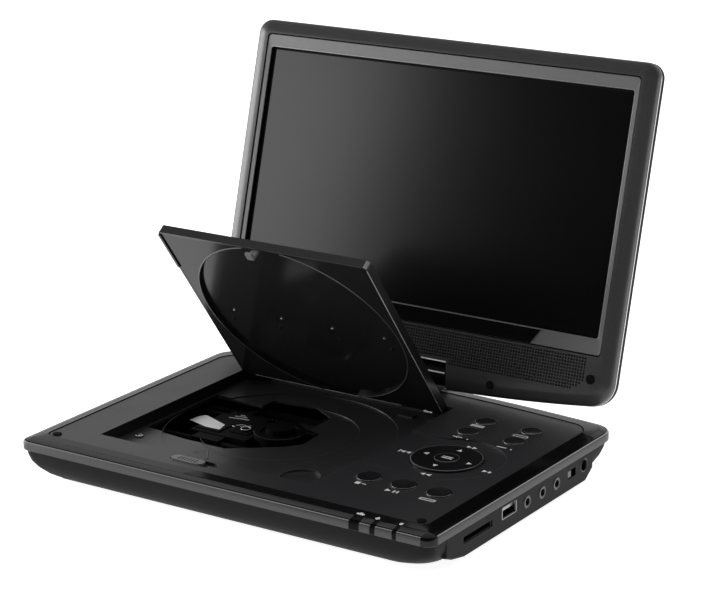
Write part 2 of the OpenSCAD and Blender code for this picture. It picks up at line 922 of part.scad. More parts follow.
// The lid's inner plate, with a round pocket over the disc and two ears for the pins.
module lid_inner()
{
    color("#0c0c0e") lid_place() difference()
    {
        union()
        {
            slab(lid_low_z + 0.1, lid_top_z - lid_skin_t)
                rounded_rect(lid_left + lid_skirt, lid_right - lid_skirt, lid_front + lid_skirt, ear_start_y + 1, 1, 0.6);
            for (x = ear_x)
            {
                along_x(x[0], pin_y, pin_z, x[1] - x[0], ear_r);
                block([x[0], ear_start_y, lid_low_z + 0.1], [x[1], pin_y, lid_top_z - lid_skin_t]);
            }
        }
        // the ears stay below the cover's skin
        block([lid_left, ear_start_y, lid_top_z - lid_skin_t], [lid_right, lid_back + 1, lid_top_z + 1]);
        post(spindle_x, spindle_y - lid_pocket_shift, lid_low_z - 1, pocket_floor, lid_pocket_r);
        along_x(lid_left - 1, pin_y, pin_z, lid_right - lid_left + 2, pin_r);
        block([hook_x - 2, hook_root_y - 0.2, lid_low_z - 1], [hook_x + 2, hook_root_y + 2.6, hook_z[1]]);
    }
    // four small pins on the pocket's floor
    color("#1b1b1e") lid_place() for (x = [-75, -45, -8, 24])
        post(x, spindle_y + 8, pocket_floor - 0.8, pocket_floor + eps, 0.7);
}

module lid_hook()
{
    color("#2c2c30") lid_place()
    {
        block([hook_x - 2, hook_root_y, hook_z[0]], [hook_x + 2, hook_root_y + hook_t, hook_z[1]]);
        block([hook_x - 2, hook_nose_y, hook_z[0]], [hook_x + 2, hook_root_y + eps, hook_z[0] + hook_t]);
    }
}

module lid_pins()
{
    color("silver") lid_place()
    {
        along_x(bay_left - 3.5, pin_y, pin_z, ear_x[0][1] - bay_left + 3.5, pin_r);
        along_x(spring_x[0], pin_y, pin_z, bay_right + 3.5 - spring_x[0], pin_r);
    }
}

module lid_spring()
{
    wire_r = 0.3;
    pitch = 0.8;
    color("silver") lid_place() for (x = [spring_x[0] + 0.5:pitch:spring_x[1] - 0.4])
        translate([x, pin_y, pin_z]) rotate([0, 90, 0])
            rotate_extrude() translate([pin_r + 0.15 + wire_r, 0]) circle(r = wire_r, $fn = 24);
}

/* ---- swivel and tilt hinge ---- */

shaft_r = 2;
barrel_half = 26;
barrel_r = 6.5;
bracket_z = [15, 18];
post_foot = 14.1;

module swivel_bracket()
{
    color("#a4a6aa") difference()
    {
        block([-bracket_half, 68, bracket_z[0]], [bracket_half, 87.5, bracket_z[1]]);
        post(0, tilt_y, bracket_z[0] - 1, bracket_z[1] + 1, swivel_r + 0.05);
        for (x = [-24, 24])
            post(x, 74, bracket_z[0] - 1, bracket_z[1] + 1, 1.7);
    }
}

module swivel_post()
{
    color("silver") difference()
    {
        union()
        {
            post(0, tilt_y, post_foot, panel_z + 0.3, swivel_r);
            post(0, tilt_y, post_foot, bracket_z[0] - 0.3, swivel_r + 1.6);
        }
        post(0, tilt_y, post_foot - 1, panel_z + 1, 2.6);
    }
}

module hinge_barrel()
{
    color("#1a1a1c") difference()
    {
        union()
        {
            along_x(-barrel_half, tilt_y, tilt_z, 2 * barrel_half, barrel_r);
            block([-20, tilt_y - 6, panel_z + 0.8], [20, tilt_y + 6, tilt_z]);
            post(0, tilt_y, panel_z + 0.3, panel_z + 0.8 + eps, 9);
        }
        along_x(-barrel_half - 1, tilt_y, tilt_z, 2 * barrel_half + 2, shaft_r);
    }
}

module tilt_shaft()
{
    color("silver") along_x(-36, tilt_y, tilt_z, 72, shaft_r);
}

/* ---- screen, drawn upright about its tilt axis and then leaned back ---- */

face = -8.8;
band_w = [-2.8, -2.2];
back_w = screen_t + face;
side_w = 0.9;
picture_low = 33.1;
frame_side = 3.2;
frame_top = 7.4;
frame_low = 9;
top_margin = 14.8;
screen_top = picture_low + picture_h + top_margin;
screen_low = -8.2;
skin = 2.2;
notch_half = barrel_half + 0.6;
notch_top = barrel_r + 0.7;
sweep_r = tilt_z - panel_z - 0.4;
grille_top = 23.2;
grille_side = 109;

module screen_place()
{
    translate([0, tilt_y, tilt_z]) rotate([-screen_lean, 0, 0]) children();
}

// A flat shape drawn in width and height, made solid between two depths.
module upright(w0, w1)
{
    translate([0, w1, 0]) rotate([90, 0, 0]) linear_extrude(w1 - w0) children();
}

module screen_outline(inset = 0)
{
    mirror([0, 1]) bowed_outline(base_w, -screen_top, -screen_low, 8, 13, inset);
}

module frame_outline(gap = 0)
{
    translate([-picture_w / 2 - frame_side + gap, picture_low - frame_low + gap])
        square([picture_w + 2 * frame_side - 2 * gap, picture_h + frame_low + frame_top - 2 * gap]);
}

module notch_outline(grow = 0)
{
    translate([-notch_half - grow, screen_low - 5])
        square([2 * (notch_half + grow), notch_top + grow - screen_low + 5]);
}

// The sound field: a wide strip whose lower edge follows the housing.
module grille_outline(gap = 0)
{
    intersection()
    {
        translate([-grille_side + gap, 0]) square([2 * (grille_side - gap), grille_top - gap]);
        screen_outline(13 + gap);
    }
}

bumper_at = [[111.6, 12.3, 2.5], [54.7, -0.4, 2.2]];

module front_bezel()
{
    color("#2a2a2d") screen_place() difference()
    {
        upright(face, band_w[0]) screen_outline();
        upright(face + skin, band_w[0] + 1) screen_outline(skin);
        upright(face - 1, face + skin + 1) frame_outline();
        upright(face - 1, face + skin + 1) grille_outline();
        upright(face - 1, band_w[0] + 1) notch_outline();
        // the lower front edge is rounded about the tilt axis, so that it passes over the base
        difference()
        {
            block([-half_w, face - 1, screen_low - 1], [half_w, 0, 0]);
            along_x(-half_w - 1, 0, 0, base_w + 2, sweep_r);
        }
        for (s = [-1, 1], b = bumper_at)
            upright(face - 1, face + 0.6) translate([s * b[0], b[1]]) circle(r = b[2]);
    }
}

module picture_frame()
{
    color("#77797c") screen_place() difference()
    {
        upright(face + 0.6, face + 2.8) frame_outline(0.1);
        upright(face - 1, face + 4) translate([-picture_w / 2, picture_low]) square([picture_w, picture_h]);
    }
}

module gloss_insert()
{
    color("#0a0a0c") screen_place() upright(face + 0.25, face + 0.6) polygon([
        [-79.6, picture_low - 0.4], [79.6, picture_low - 0.4], [74.1, picture_low - 8.3], [-74.1, picture_low - 8.3]
    ]);
}

module lcd_glass()
{
    color("#08080a") screen_place() upright(face + 2.8, face + 3.8)
        translate([-picture_w / 2 - 2, picture_low - 2]) square([picture_w + 4, picture_h + 4]);
}

module lcd_module()
{
    color("#b9bbbe") screen_place() upright(face + 3.8, face + 8.2)
        translate([-117, picture_low - 6]) square([234, picture_h + 13]);
}

module screen_band()
{
    color("#c9cbce") screen_place() upright(band_w[0], band_w[1]) difference()
    {
        screen_outline(-0.12);
        screen_outline(skin);
        notch_outline();
    }
}

module rear_form(inset, w_end)
{
    upright(band_w[1], side_w) screen_outline(inset);
    hull()
    {
        upright(side_w - eps, side_w) screen_outline(inset);
        upright(w_end - eps, w_end) screen_outline(12 + inset * 0.7);
    }
}

screen_screw_at = [[100, 22], [100, 150]];

module rear_cover()
{
    color("#1b1b1d") screen_place() difference()
    {
        union()
        {
            difference()
            {
                rear_form(0, back_w);
                rear_form(skin, back_w - 2);
                upright(band_w[1] - 1, side_w) screen_outline(skin);
            }
            // walls round the hinge's notch
            intersection()
            {
                upright(face + 2.4, back_w) notch_outline(1.4);
                union()
                {
                    rear_form(0, back_w);
                    upright(face + 2.4, band_w[1] + 1) screen_outline(skin + 0.1);
                }
            }
        }
        upright(face - 1, back_w + 1) notch_outline();
        along_x(-40, 0, 0, 80, shaft_r + 0.8);
        for (s = [-1, 1], p = screen_screw_at)
        {
            upright(back_w - 3, back_w + 1) translate([s * p[0], p[1]]) circle(r = 1.3);
            upright(back_w - 1, back_w + 1) translate([s * p[0], p[1]]) circle(r = 2.6);
        }
    }
}

module screen_screws()
{
    color("silver") screen_place() for (s = [-1, 1], p = screen_screw_at)
    {
        upright(1, back_w - 1) translate([s * p[0], p[1]]) circle(r = 1.25);
        upright(back_w - 1, back_w - 0.2) translate([s * p[0], p[1]]) circle(r = 2.5);
    }
}

module hinge_brackets()
{
    color("#a4a6aa") screen_place() for (s = [-1, 1])
        mirror([s > 0 ? 0 : 1, 0, 0]) difference()
        {
            union()
            {
                along_x(notch_half + 2, 0, 0, 5.4, 3.3);
                block([notch_half + 2, -3, 0], [notch_half + 7.4, 3, 20]);
                block([notch_half + 7.4 - eps, 1, 6], [notch_half + 30, 3, 20]);
            }
            along_x(notch_half, 0, 0, 10, shaft_r + 0.05);
        }
}

module speaker_grille()
{
    color("#161618") screen_place() difference()
    {
        upright(face + 0.7, face + skin) grille_outline(0.1);
        upright(face, face + skin + 1) notch_outline(0.1);
        for (x = [-104:8:104])
            upright(face, face + skin + 1) translate([x - 1, 13]) square([2, 8]);
    }
}

module speakers()
{
    color("#2f2f33") screen_place() for (s = [-1, 1])
    {
        upright(face + skin + 0.1, 0) translate([s * 70, 13.6]) circle(r = 9);
        upright(-eps, 3) translate([s * 70, 13.6]) circle(r = 5);
    }
}

module screen_bumpers()
{
    color("#141415") screen_place() for (s = [-1, 1], b = bumper_at)
        upright(face - 0.5, face + 0.6) translate([s * b[0], b[1]]) circle(r = b[2] - 0.05);
}

bottom_shell();
rim_frame();
gloss_trim();
top_panel();
status_windows();
rubber_feet();
panel_bumpers();
base_screws();
disc_deck();
deck_screws();
drive_chassis();
rubber_dampers();
guide_rods();
spindle_motor();
turntable();
disc_jaws();
pickup_sled();
pickup_lens();
feed_motor();
feed_screw();
main_board();
battery_pack();
key_board();
menu_key();
mode_key();
volume_up_key();
volume_down_key();
stop_key();
play_key();
source_key();
nav_ring();
enter_key();
usb_socket();
card_socket();
audio_jacks();
dc_socket();
power_switch();
lid_latch();
lid_cover();
lid_inner();
lid_hook();
lid_pins();
lid_spring();
swivel_bracket();
swivel_post();
hinge_barrel();
tilt_shaft();
hinge_brackets();
front_bezel();
picture_frame();
gloss_insert();
lcd_glass();
lcd_module();
screen_band();
rear_cover();
speaker_grille();
speakers();
screen_bumpers();
screen_screws();
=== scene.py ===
"""The looks of the portable DVD player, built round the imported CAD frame.

Everything is in the frame's own axes: X to the right, Y to the back, Z up. Sizes here
are in millimetres, and the mesh builder turns them into metres.
"""

import json
import math

import bmesh
import bpy
from mathutils import Matrix, Vector


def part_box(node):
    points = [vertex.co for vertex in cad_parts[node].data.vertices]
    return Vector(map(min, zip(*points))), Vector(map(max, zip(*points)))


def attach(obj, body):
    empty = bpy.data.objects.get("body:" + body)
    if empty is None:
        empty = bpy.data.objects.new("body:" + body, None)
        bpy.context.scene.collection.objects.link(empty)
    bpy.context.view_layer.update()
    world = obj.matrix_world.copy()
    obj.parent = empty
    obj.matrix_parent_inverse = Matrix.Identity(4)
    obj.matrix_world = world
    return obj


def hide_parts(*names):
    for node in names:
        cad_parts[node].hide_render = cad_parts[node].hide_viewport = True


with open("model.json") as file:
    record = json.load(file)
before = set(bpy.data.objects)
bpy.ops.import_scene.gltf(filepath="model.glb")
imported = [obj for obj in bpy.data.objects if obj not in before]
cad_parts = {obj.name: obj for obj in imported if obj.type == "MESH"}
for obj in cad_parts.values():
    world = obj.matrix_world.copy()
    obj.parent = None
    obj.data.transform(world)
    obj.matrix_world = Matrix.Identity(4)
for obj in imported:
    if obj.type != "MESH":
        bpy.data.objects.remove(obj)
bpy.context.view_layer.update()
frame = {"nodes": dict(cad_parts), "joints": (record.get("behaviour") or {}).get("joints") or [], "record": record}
MM = 0.001
WELD = 0.002 * MM

# ---- places and sizes


def low(node):
    """Lowest corner of a CAD node's box, in millimetres."""
    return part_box(node)[0] / MM


def high(node):
    """Highest corner of a CAD node's box, in millimetres."""
    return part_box(node)[1] / MM


def pivot(joint_name):
    """A joint's point in millimetres."""
    joint = next(j for j in frame["joints"] if j["name"] == joint_name)
    return Vector(joint["pos_m"]) / MM


HALF_W = high("rim_frame").x
FRONT_Y = low("rim_frame").y
BACK_Y = high("rim_frame").y
PANEL_Z = high("top_panel").z
RIM_Z = PANEL_Z - 1.6
BAND_Z = low("rim_frame").z
DECK_Z = high("disc_deck").z - 0.8
ARC_RISE = 6.4
FRONT_R = 6.0
BACK_R = 12.0

SCREEN_LEAN = math.radians(15.75)
LID_OPEN = math.radians(53.5)
TILT = pivot("screen_tilt")
LID_PIN = pivot("lid_hinge")
FACE_W = -8.8
SCREEN_TOP = 174.2
SCREEN_LOW = -8.2


def screen_place():
    """From the screen's own width, depth and height axes to the frame."""
    return Matrix.Translation(TILT) @ Matrix.Rotation(-SCREEN_LEAN, 4, "X")


def lid_place():
    """From the shut lid to the open lid."""
    turn = Matrix.Rotation(-LID_OPEN, 4, "X")
    return Matrix.Translation(LID_PIN) @ turn @ Matrix.Translation(-LID_PIN)


# ---- camera and stage


def make_camera():
    """The camera: a long lens, to the front and right of the player and a little above it."""
    azimuth = math.radians(33.92)
    elevation = math.radians(16.83)
    roll = math.radians(-0.575)
    ahead = Vector((
        -math.sin(azimuth) * math.cos(elevation),
        math.cos(azimuth) * math.cos(elevation),
        -math.sin(elevation),
    ))
    level = Vector((math.cos(azimuth), math.sin(azimuth), 0))
    upright = level.cross(ahead)
    right = level * math.cos(roll) + upright * math.sin(roll)
    up = right.cross(ahead)
    data = bpy.data.cameras.new("camera")
    data.sensor_width = 36
    data.lens = 123.4
    data.clip_start = 0.05
    data.clip_end = 50
    camera = bpy.data.objects.new("camera", data)
    turn = Matrix((right, up, -ahead)).transposed().to_4x4()
    camera.matrix_world = Matrix.Translation((0.674, -0.967, 0.449)) @ turn
    bpy.context.scene.collection.objects.link(camera)
    bpy.context.scene.camera = camera


def area_light(name, place, target, size, power):
    """A soft box light that points at a target."""
    data = bpy.data.lights.new(name, "AREA")
    data.shape = "RECTANGLE"
    data.size, data.size_y = size
    data.energy = power
    lamp = bpy.data.objects.new(name, data)
    lamp.location = place
    aim = Vector(target) - Vector(place)
    lamp.rotation_mode = "QUATERNION"
    lamp.rotation_quaternion = aim.to_track_quat("-Z", "Y")
    bpy.context.scene.collection.objects.link(lamp)
    return lamp


def make_stage():
    """A pale floor, a soft surrounding light and a few soft boxes."""
    bpy.ops.mesh.primitive_grid_add(x_subdivisions=2, y_subdivisions=2, size=24)
    floor = bpy.context.object
    floor.name = "floor"
    paint = bpy.data.materials.new("floor_white")
    paint.use_nodes = True
    shader = paint.node_tree.nodes["Principled BSDF"]
    shader.inputs["Base Color"].default_value = (0.92, 0.92, 0.92, 1)
    shader.inputs["Emission Color"].default_value = (1, 1, 1, 1)
    shader.inputs["Emission Strength"].default_value = 0.93
    shader.inputs["Roughness"].default_value = 0.9
    shader.inputs["Specular IOR Level"].default_value = 0.1
    floor.data.materials.append(paint)

    bpy.context.scene.view_settings.view_transform = "Standard"
    world = bpy.data.worlds.new("studio")
    bpy.context.scene.world = world
    world.use_nodes = True
    tree = world.node_tree
    background = tree.nodes["Background"]
    background.inputs["Color"].default_value = (1, 1, 1, 1)
    # the room is bright behind the player and to its left, and dim in front and to the right
    toward = node_of(tree, "ShaderNodeTexCoord")
    along = node_of(tree, "ShaderNodeVectorMath", operation="DOT_PRODUCT")
    along.inputs[1].default_value = (-0.40, 0.92, 0)
    shade = node_of(tree, "ShaderNodeMapRange")
    shade.inputs["From Min"].default_value = -0.45
    shade.inputs["From Max"].default_value = 0.45
    shade.inputs["To Min"].default_value = 0.02
    shade.inputs["To Max"].default_value = 0.62
    tree.links.new(toward.outputs["Generated"], along.inputs[0])
    tree.links.new(along.outputs["Value"], shade.inputs["Value"])
    tree.links.new(shade.outputs["Result"], background.inputs["Strength"])

    fill = area_light("fill_light", (0, -0.6, 2.2), (0, 0, 0), (3.0, 3.0), 26)
    fill.visible_glossy = False
    area_light("left_light", (-0.82, -0.70, 0.24), (-0.05, 0.05, 0.12), (0.42, 0.60), 2.6)
    area_light("side_light", (-1.15, -0.20, 0.26), (-0.12, 0.08, 0.12), (0.42, 0.46), 5.6)


# ---- materials

materials = {}


def node_of(tree, kind, **settings):
    """A shader node with some of its properties set."""
    made = tree.nodes.new(kind)
    for key, value in settings.items():
        setattr(made, key, value)
    return made


def surface(
    name, color, roughness, metallic=0.0, specular=0.5, coat=0.0, coat_roughness=0.05,
    grain=1800.0, bump=0.08, tone=0.12, wear=0.06, stretch=(1, 1, 1),
):
    """A moulded, painted or metal finish: fine grain in relief, and slow drifts in tone and gloss.

    grain is the number of grains to the metre, bump their strength, tone how far the colour
    drifts, wear how far the roughness drifts, and stretch draws the grain out along an axis.
    """
    made = bpy.data.materials.new(name)
    made.use_nodes = True
    tree = made.node_tree
    shader = tree.nodes["Principled BSDF"]
    link = tree.links.new
    place = node_of(tree, "ShaderNodeTexCoord")
    mapping = node_of(tree, "ShaderNodeMapping")
    mapping.inputs["Scale"].default_value = stretch
    link(place.outputs["Object"], mapping.inputs["Vector"])

    fine = node_of(tree, "ShaderNodeTexNoise")
    fine.inputs["Scale"].default_value = grain
    fine.inputs["Detail"].default_value = 3
    link(mapping.outputs["Vector"], fine.inputs["Vector"])
    relief = node_of(tree, "ShaderNodeBump")
    relief.inputs["Strength"].default_value = bump
    relief.inputs["Distance"].default_value = 0.0002
    link(fine.outputs["Fac"], relief.inputs["Height"])
    link(relief.outputs["Normal"], shader.inputs["Normal"])

    slow = node_of(tree, "ShaderNodeTexNoise")
    slow.inputs["Scale"].default_value = 38
    slow.inputs["Detail"].default_value = 4
    link(place.outputs["Object"], slow.inputs["Vector"])
    drift = node_of(tree, "ShaderNodeMapRange")
    drift.inputs["To Min"].default_value = roughness - wear
    drift.inputs["To Max"].default_value = roughness + wear
    link(slow.outputs["Fac"], drift.inputs["Value"])
    link(drift.outputs["Result"], shader.inputs["Roughness"])

    tones = node_of(tree, "ShaderNodeValToRGB")
    tones.color_ramp.elements[0].position = 0.3
    tones.color_ramp.elements[1].position = 0.7
    tones.color_ramp.elements[0].color = (*[c * (1 - tone) for c in color], 1)
    tones.color_ramp.elements[1].color = (*[min(c * (1 + tone), 1) for c in color], 1)
    link(fine.outputs["Fac"], tones.inputs["Fac"])
    link(tones.outputs["Color"], shader.inputs["Base Color"])

    shader.inputs["Metallic"].default_value = metallic
    shader.inputs["Specular IOR Level"].default_value = specular
    shader.inputs["Coat Weight"].default_value = coat
    shader.inputs["Coat Roughness"].default_value = coat_roughness
    materials[name] = made


def make_materials():
    """Every finish that is seen, by the record's slot names where it has one."""
    surface("black_shell", (0.004, 0.004, 0.0045), 0.5, specular=0.10, grain=2600, bump=0.35, tone=0.3)
    surface("black_panel", (0.023, 0.023, 0.025), 0.36, grain=3200, bump=0.22, tone=0.3)
    surface("black_deck", (0.025, 0.025, 0.026), 0.33, grain=3000, bump=0.16, tone=0.25)
    surface("silver_grey_plastic", (0.062, 0.062, 0.064), 0.36, metallic=0.8, grain=5200, bump=0.1)
    surface("gloss_black", (0.003, 0.003, 0.0035), 0.14, specular=0.22, coat=0.04, bump=0.01, wear=0.02)
    surface("smoked_window", (0.002, 0.002, 0.002), 0.3, specular=0.07, bump=0.01, wear=0.02)
    surface("rubber", (0.003, 0.003, 0.003), 0.8, specular=0.1, grain=2200, bump=0.3)
    surface("steel", (0.62, 0.62, 0.63), 0.24, metallic=1.0, grain=2600, bump=0.06, stretch=(0.05, 1, 1))
    surface("circuit_board", (0.01, 0.09, 0.035), 0.4)
    surface("socket_metal", (0.30, 0.30, 0.31), 0.3, metallic=1.0)
    surface("socket_plastic", (0.008, 0.008, 0.008), 0.45)
    surface("key_black", (0.010, 0.010, 0.011), 0.24, coat=0.3, coat_roughness=0.15, bump=0.05)
    surface("latch_grey", (0.13, 0.13, 0.135), 0.34, bump=0.15)
    surface("lid_black", (0.008, 0.008, 0.009), 0.24, specular=0.4, bump=0.03)
    surface("lid_gloss", (0.011, 0.011, 0.0115), 0.15, specular=0.24, bump=0.0, wear=0.015)
    surface(
        "bezel_black", (0.034, 0.034, 0.034), 0.33, grain=2600, bump=0.12, tone=0.2, stretch=(0.08, 1, 1))
    surface("frame_grey", (0.158, 0.158, 0.158), 0.36, metallic=0.5, grain=4200, bump=0.1)
    surface("screen_glass", (0.0008, 0.0008, 0.0009), 0.185, specular=0.42, bump=0.0, wear=0.01, tone=0.05)
    surface("panel_pack", (0.4, 0.4, 0.4), 0.4)
    surface("bright_trim", (0.72, 0.72, 0.74), 0.2, metallic=1.0, bump=0.03)
    surface("speaker_black", (0.002, 0.002, 0.002), 0.7, specular=0.1)
    surface("ring_black", (0.006, 0.006, 0.007), 0.3, specular=0.3, bump=0.03, wear=0.03)
    surface("mark_white", (0.78, 0.78, 0.78), 0.5, bump=0.05, tone=0.03)
    surface("mark_grey", (0.10, 0.10, 0.10), 0.4, bump=0.05, tone=0.05)
    # painted highlight: a light grey for glints and lit edge lines
    surface("painted_highlight", (0.62, 0.62, 0.63), 0.34, metallic=0.2, bump=0.03, tone=0.05)
    # painted highlight: a lighter copy of the lid's black, for its lit edges and studs
    surface("lid_highlight", (0.045, 0.045, 0.046), 0.22, specular=0.6, bump=0.02)
    surface("socket_rim", (0.055, 0.055, 0.056), 0.28, metallic=0.4, bump=0.03)
    surface("socket_metal_bright", (0.30, 0.30, 0.30), 0.3, metallic=0.8, bump=0.03)
    # painted shade: a near black for the drive's inner parts, which lie in shade under its window
    surface("drive_painted_shade", (0.003, 0.003, 0.0033), 0.55, specular=0.07, bump=0.05)
    # painted highlight: a bright copy of the rim's silver, for its sharp edge
    surface("rim_highlight", (0.42, 0.42, 0.43), 0.24, metallic=1.0, bump=0.03)
    surface("key_glint", (0.20, 0.20, 0.20), 0.3, specular=0.6, bump=0.02)
    surface("mask_black", (0.001, 0.001, 0.001), 0.5, specular=0.08, bump=0.02)
    surface("screw_black", (0.05, 0.05, 0.052), 0.35, metallic=0.9, bump=0.1)
    # painted highlight: thin lit edges of the panel's and the deck's steps
    surface("dim_highlight", (0.045, 0.045, 0.046), 0.35, specular=0.4, bump=0.03)
    surface("plate_grey", (0.88, 0.88, 0.89), 0.3, metallic=1.0, bump=0.03, tone=0.04)
    # painted highlight: a lighter copy of the frame's grey, for lit edges
    surface("frame_highlight", (0.22, 0.22, 0.225), 0.3, metallic=0.5, bump=0.03)


def dress_frame():
    """Gives each CAD node its slot's material, and softens its edges.

    What lies in the shade under the drive's window is painted near black as shade, in place of its slot's finish,
    and the case screws are black.
    """
    edge_widths = {
        "front_bezel": 1.0, "rear_cover": 0.8, "rim_frame": 0.3, "gloss_trim": 0.25, "top_panel": 0.3,
        "bottom_shell": 0.5, "lid_cover": 0.35, "lid_inner": 0.3, "hinge_barrel": 0.5, "picture_frame": 0.4,
    }
    shaded = (
        "guide_rods", "spindle_motor", "feed_motor", "feed_screw", "drive_chassis", "turntable",
        "pickup_sled", "pickup_lens", "rubber_dampers", "disc_jaws", "main_board", "battery_pack",
    )
    finishes = {name: "drive_painted_shade" for name in shaded}
    finishes["screen_screws"] = finishes["base_screws"] = "screw_black"
    for part in frame["record"]["subparts"]:
        node = frame["nodes"][part["node"]]
        node.data.materials.clear()
        node.data.materials.append(materials[finishes.get(part["node"], part["material_slot"])])
        soften(node, edge_widths.get(part["node"], 0.12))


def soften(piece, width):
    """Small rounded edges, a width in millimetres, on a piece with hard ones."""
    weld = piece.modifiers.new("weld", "WELD")
    weld.merge_threshold = WELD
    bevel = piece.modifiers.new("edges", "BEVEL")
    bevel.width = width * MM
    bevel.segments = 2
    bevel.limit_method = "ANGLE"
    bevel.angle_limit = math.radians(32)
    bevel.harden_normals = True
    for face in piece.data.polygons:
        face.use_smooth = True
    normals = piece.modifiers.new("normals", "WEIGHTED_NORMAL")
    normals.keep_sharp = True


# ---- mesh building


def loft(rings, wrap=False):
    """Faces between rings of equal length. Returns the points and the quads, ring by ring."""
    count = len(rings[0])
    points = [point for ring in rings for point in ring]
    faces = []
    for j in range(len(rings) if wrap else len(rings) - 1):
        near = j * count
        far = (j + 1) % len(rings) * count
        for i in range(count):
            after = (i + 1) % count
            faces.append((near + i, near + after, far + after, far + i))
    return points, faces


def mesh_of(name, points, faces):
    """A mesh from points in millimetres, with doubled points merged and its faces turned outwards."""
    mesh = bpy.data.meshes.new(name)
    mesh.from_pydata([Vector(point) * MM for point in points], [], faces)
    shape = bmesh.new()
    shape.from_mesh(mesh)
    bmesh.ops.remove_doubles(shape, verts=shape.verts, dist=WELD)
    loose = [vert for vert in shape.verts if not vert.link_faces]
    bmesh.ops.delete(shape, geom=loose, context="VERTS")
    bmesh.ops.recalc_face_normals(shape, faces=shape.faces)
    shape.to_mesh(mesh)
    shape.free()
    return mesh


def build(name, body, finish, points, faces, place=None, angle=30):
    """A piece made from points in millimetres, riding on a body, with its finish."""
    if place:
        points = [place @ Vector(point) for point in points]
    mesh = mesh_of(name, points, faces)
    piece = bpy.data.objects.new(name, mesh)
    bpy.context.scene.collection.objects.link(piece)
    mesh.materials.append(materials[finish])
    smooth(mesh, angle)
    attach(piece, body)
    return piece


def smooth(mesh, angle):
    """Smooth shading that breaks at edges sharper than an angle in degrees."""
    mesh.polygons.foreach_set("use_smooth", [True] * len(mesh.polygons))
    mesh.set_sharp_from_angle(angle=math.radians(angle))


def settle(piece, angle=30):
    """Applies a piece's modifiers, so that its mesh is final."""
    bpy.context.view_layer.objects.active = piece
    for modifier in list(piece.modifiers):
        bpy.ops.object.modifier_apply(modifier=modifier.name)
    smooth(piece.data, angle)


def cut(piece, cutters):
    """Takes closed shapes, each a (points, faces) pair in millimetres, out of a piece."""
    for number, (points, faces) in enumerate(cutters):
        tool = bpy.data.objects.new("cutter", mesh_of("cutter", points, faces))
        bpy.context.scene.collection.objects.link(tool)
        modifier = piece.modifiers.new("cut_%d" % number, "BOOLEAN")
        modifier.object = tool
        modifier.operation = "DIFFERENCE"
        modifier.solver = "EXACT"
        settle(piece)
        bpy.data.objects.remove(tool)


def box_shape(corner_a, corner_b):
    """A box between two corners, as points and faces."""
    points = [
        (x, y, z)
        for z in (corner_a[2], corner_b[2])
        for y in (corner_a[1], corner_b[1])
        for x in (corner_a[0], corner_b[0])
    ]
    return points, [(0, 2, 3, 1), (4, 5, 7, 6), (0, 1, 5, 4), (2, 6, 7, 3), (0, 4, 6, 2), (1, 3, 7, 5)]


def rod_shape(start, end, radius, sides=40):
    """A rod along X, Y or Z between two points, as points and faces."""
    ahead = (Vector(end) - Vector(start)).normalized()
    across = ahead.orthogonal().normalized()
    over = ahead.cross(across)
    rings = [
        [
            Vector(centre) + radius * (math.cos(turn) * across + math.sin(turn) * over)
            for turn in (2 * math.pi * i / sides for i in range(sides))
        ]
        for centre in (start, end)
    ]
    points, faces = loft(rings)
    faces.append(tuple(range(sides)))
    faces.append(tuple(range(2 * sides - 1, sides - 1, -1)))
    return points, faces


def lathe(name, body, finish, centre, profile, sides=96, place=None):
    """A turned piece: profile is a list of (radius, height) pairs about an upright axis."""
    rings = [
        [
            (centre[0] + r * math.cos(turn), centre[1] + r * math.sin(turn), z)
            for turn in (2 * math.pi * i / sides for i in range(sides))
        ]
        for r, z in profile
    ]
    points, faces = loft(rings)
    return build(name, body, finish, points, faces, place)


def arc(cx, cy, radius, start, end, steps=60):
    """Points along a circle between two angles in degrees."""
    return [
        (cx + radius * math.cos(turn), cy + radius * math.sin(turn))
        for turn in (math.radians(start + (end - start) * i / steps) for i in range(steps + 1))
    ]


def round_rect(x0, x1, y0, y1, radius, steps=6):
    """A rectangle with round corners, anticlockwise, as flat points."""
    points = []
    for cx, cy, start in (
        (x0 + radius, y0 + radius, 180), (x1 - radius, y0 + radius, 270),
        (x1 - radius, y1 - radius, 0), (x0 + radius, y1 - radius, 90),
    ):
        points += arc(cx, cy, radius, start, start + 90, steps)
    return points


def sweep(name, body, finish, paths, width, thick, z, place=None):
    """Thin raised lines along open paths of (x, y) points, in the XY plane at a height."""
    points = []
    faces = []
    for path in paths:
        rings = []
        for i, spot in enumerate(path):
            before = Vector(path[max(i - 1, 0)])
            after = Vector(path[min(i + 1, len(path) - 1)])
            ahead = (after - before).normalized()
            side = Vector((-ahead.y, ahead.x)) * width / 2
            rings.append([
                (spot[0] + k * side.x, spot[1] + k * side.y, z + h)
                for k, h in ((-1, 0), (-0.5, thick), (0.5, thick), (1, 0))])
        part, quads = loft(rings)
        start = len(points)
        points += part
        faces += [tuple(start + i for i in quad) for quad in quads]
        faces.append(tuple(start + i for i in range(4)))
        faces.append(tuple(len(points) - 1 - i for i in range(4)))
    return build(name, body, finish, points, faces, place, angle=60)


FRONT_STEPS = (-100, -60, -35, 0, 35, 65)
BASE_SIDE = (-60, -20, 20, 50, 64.4)
SCREEN_SIDE = (-150, -110, -60, -20)
CORNER_STEPS = 12
BOW_STEPS = 48


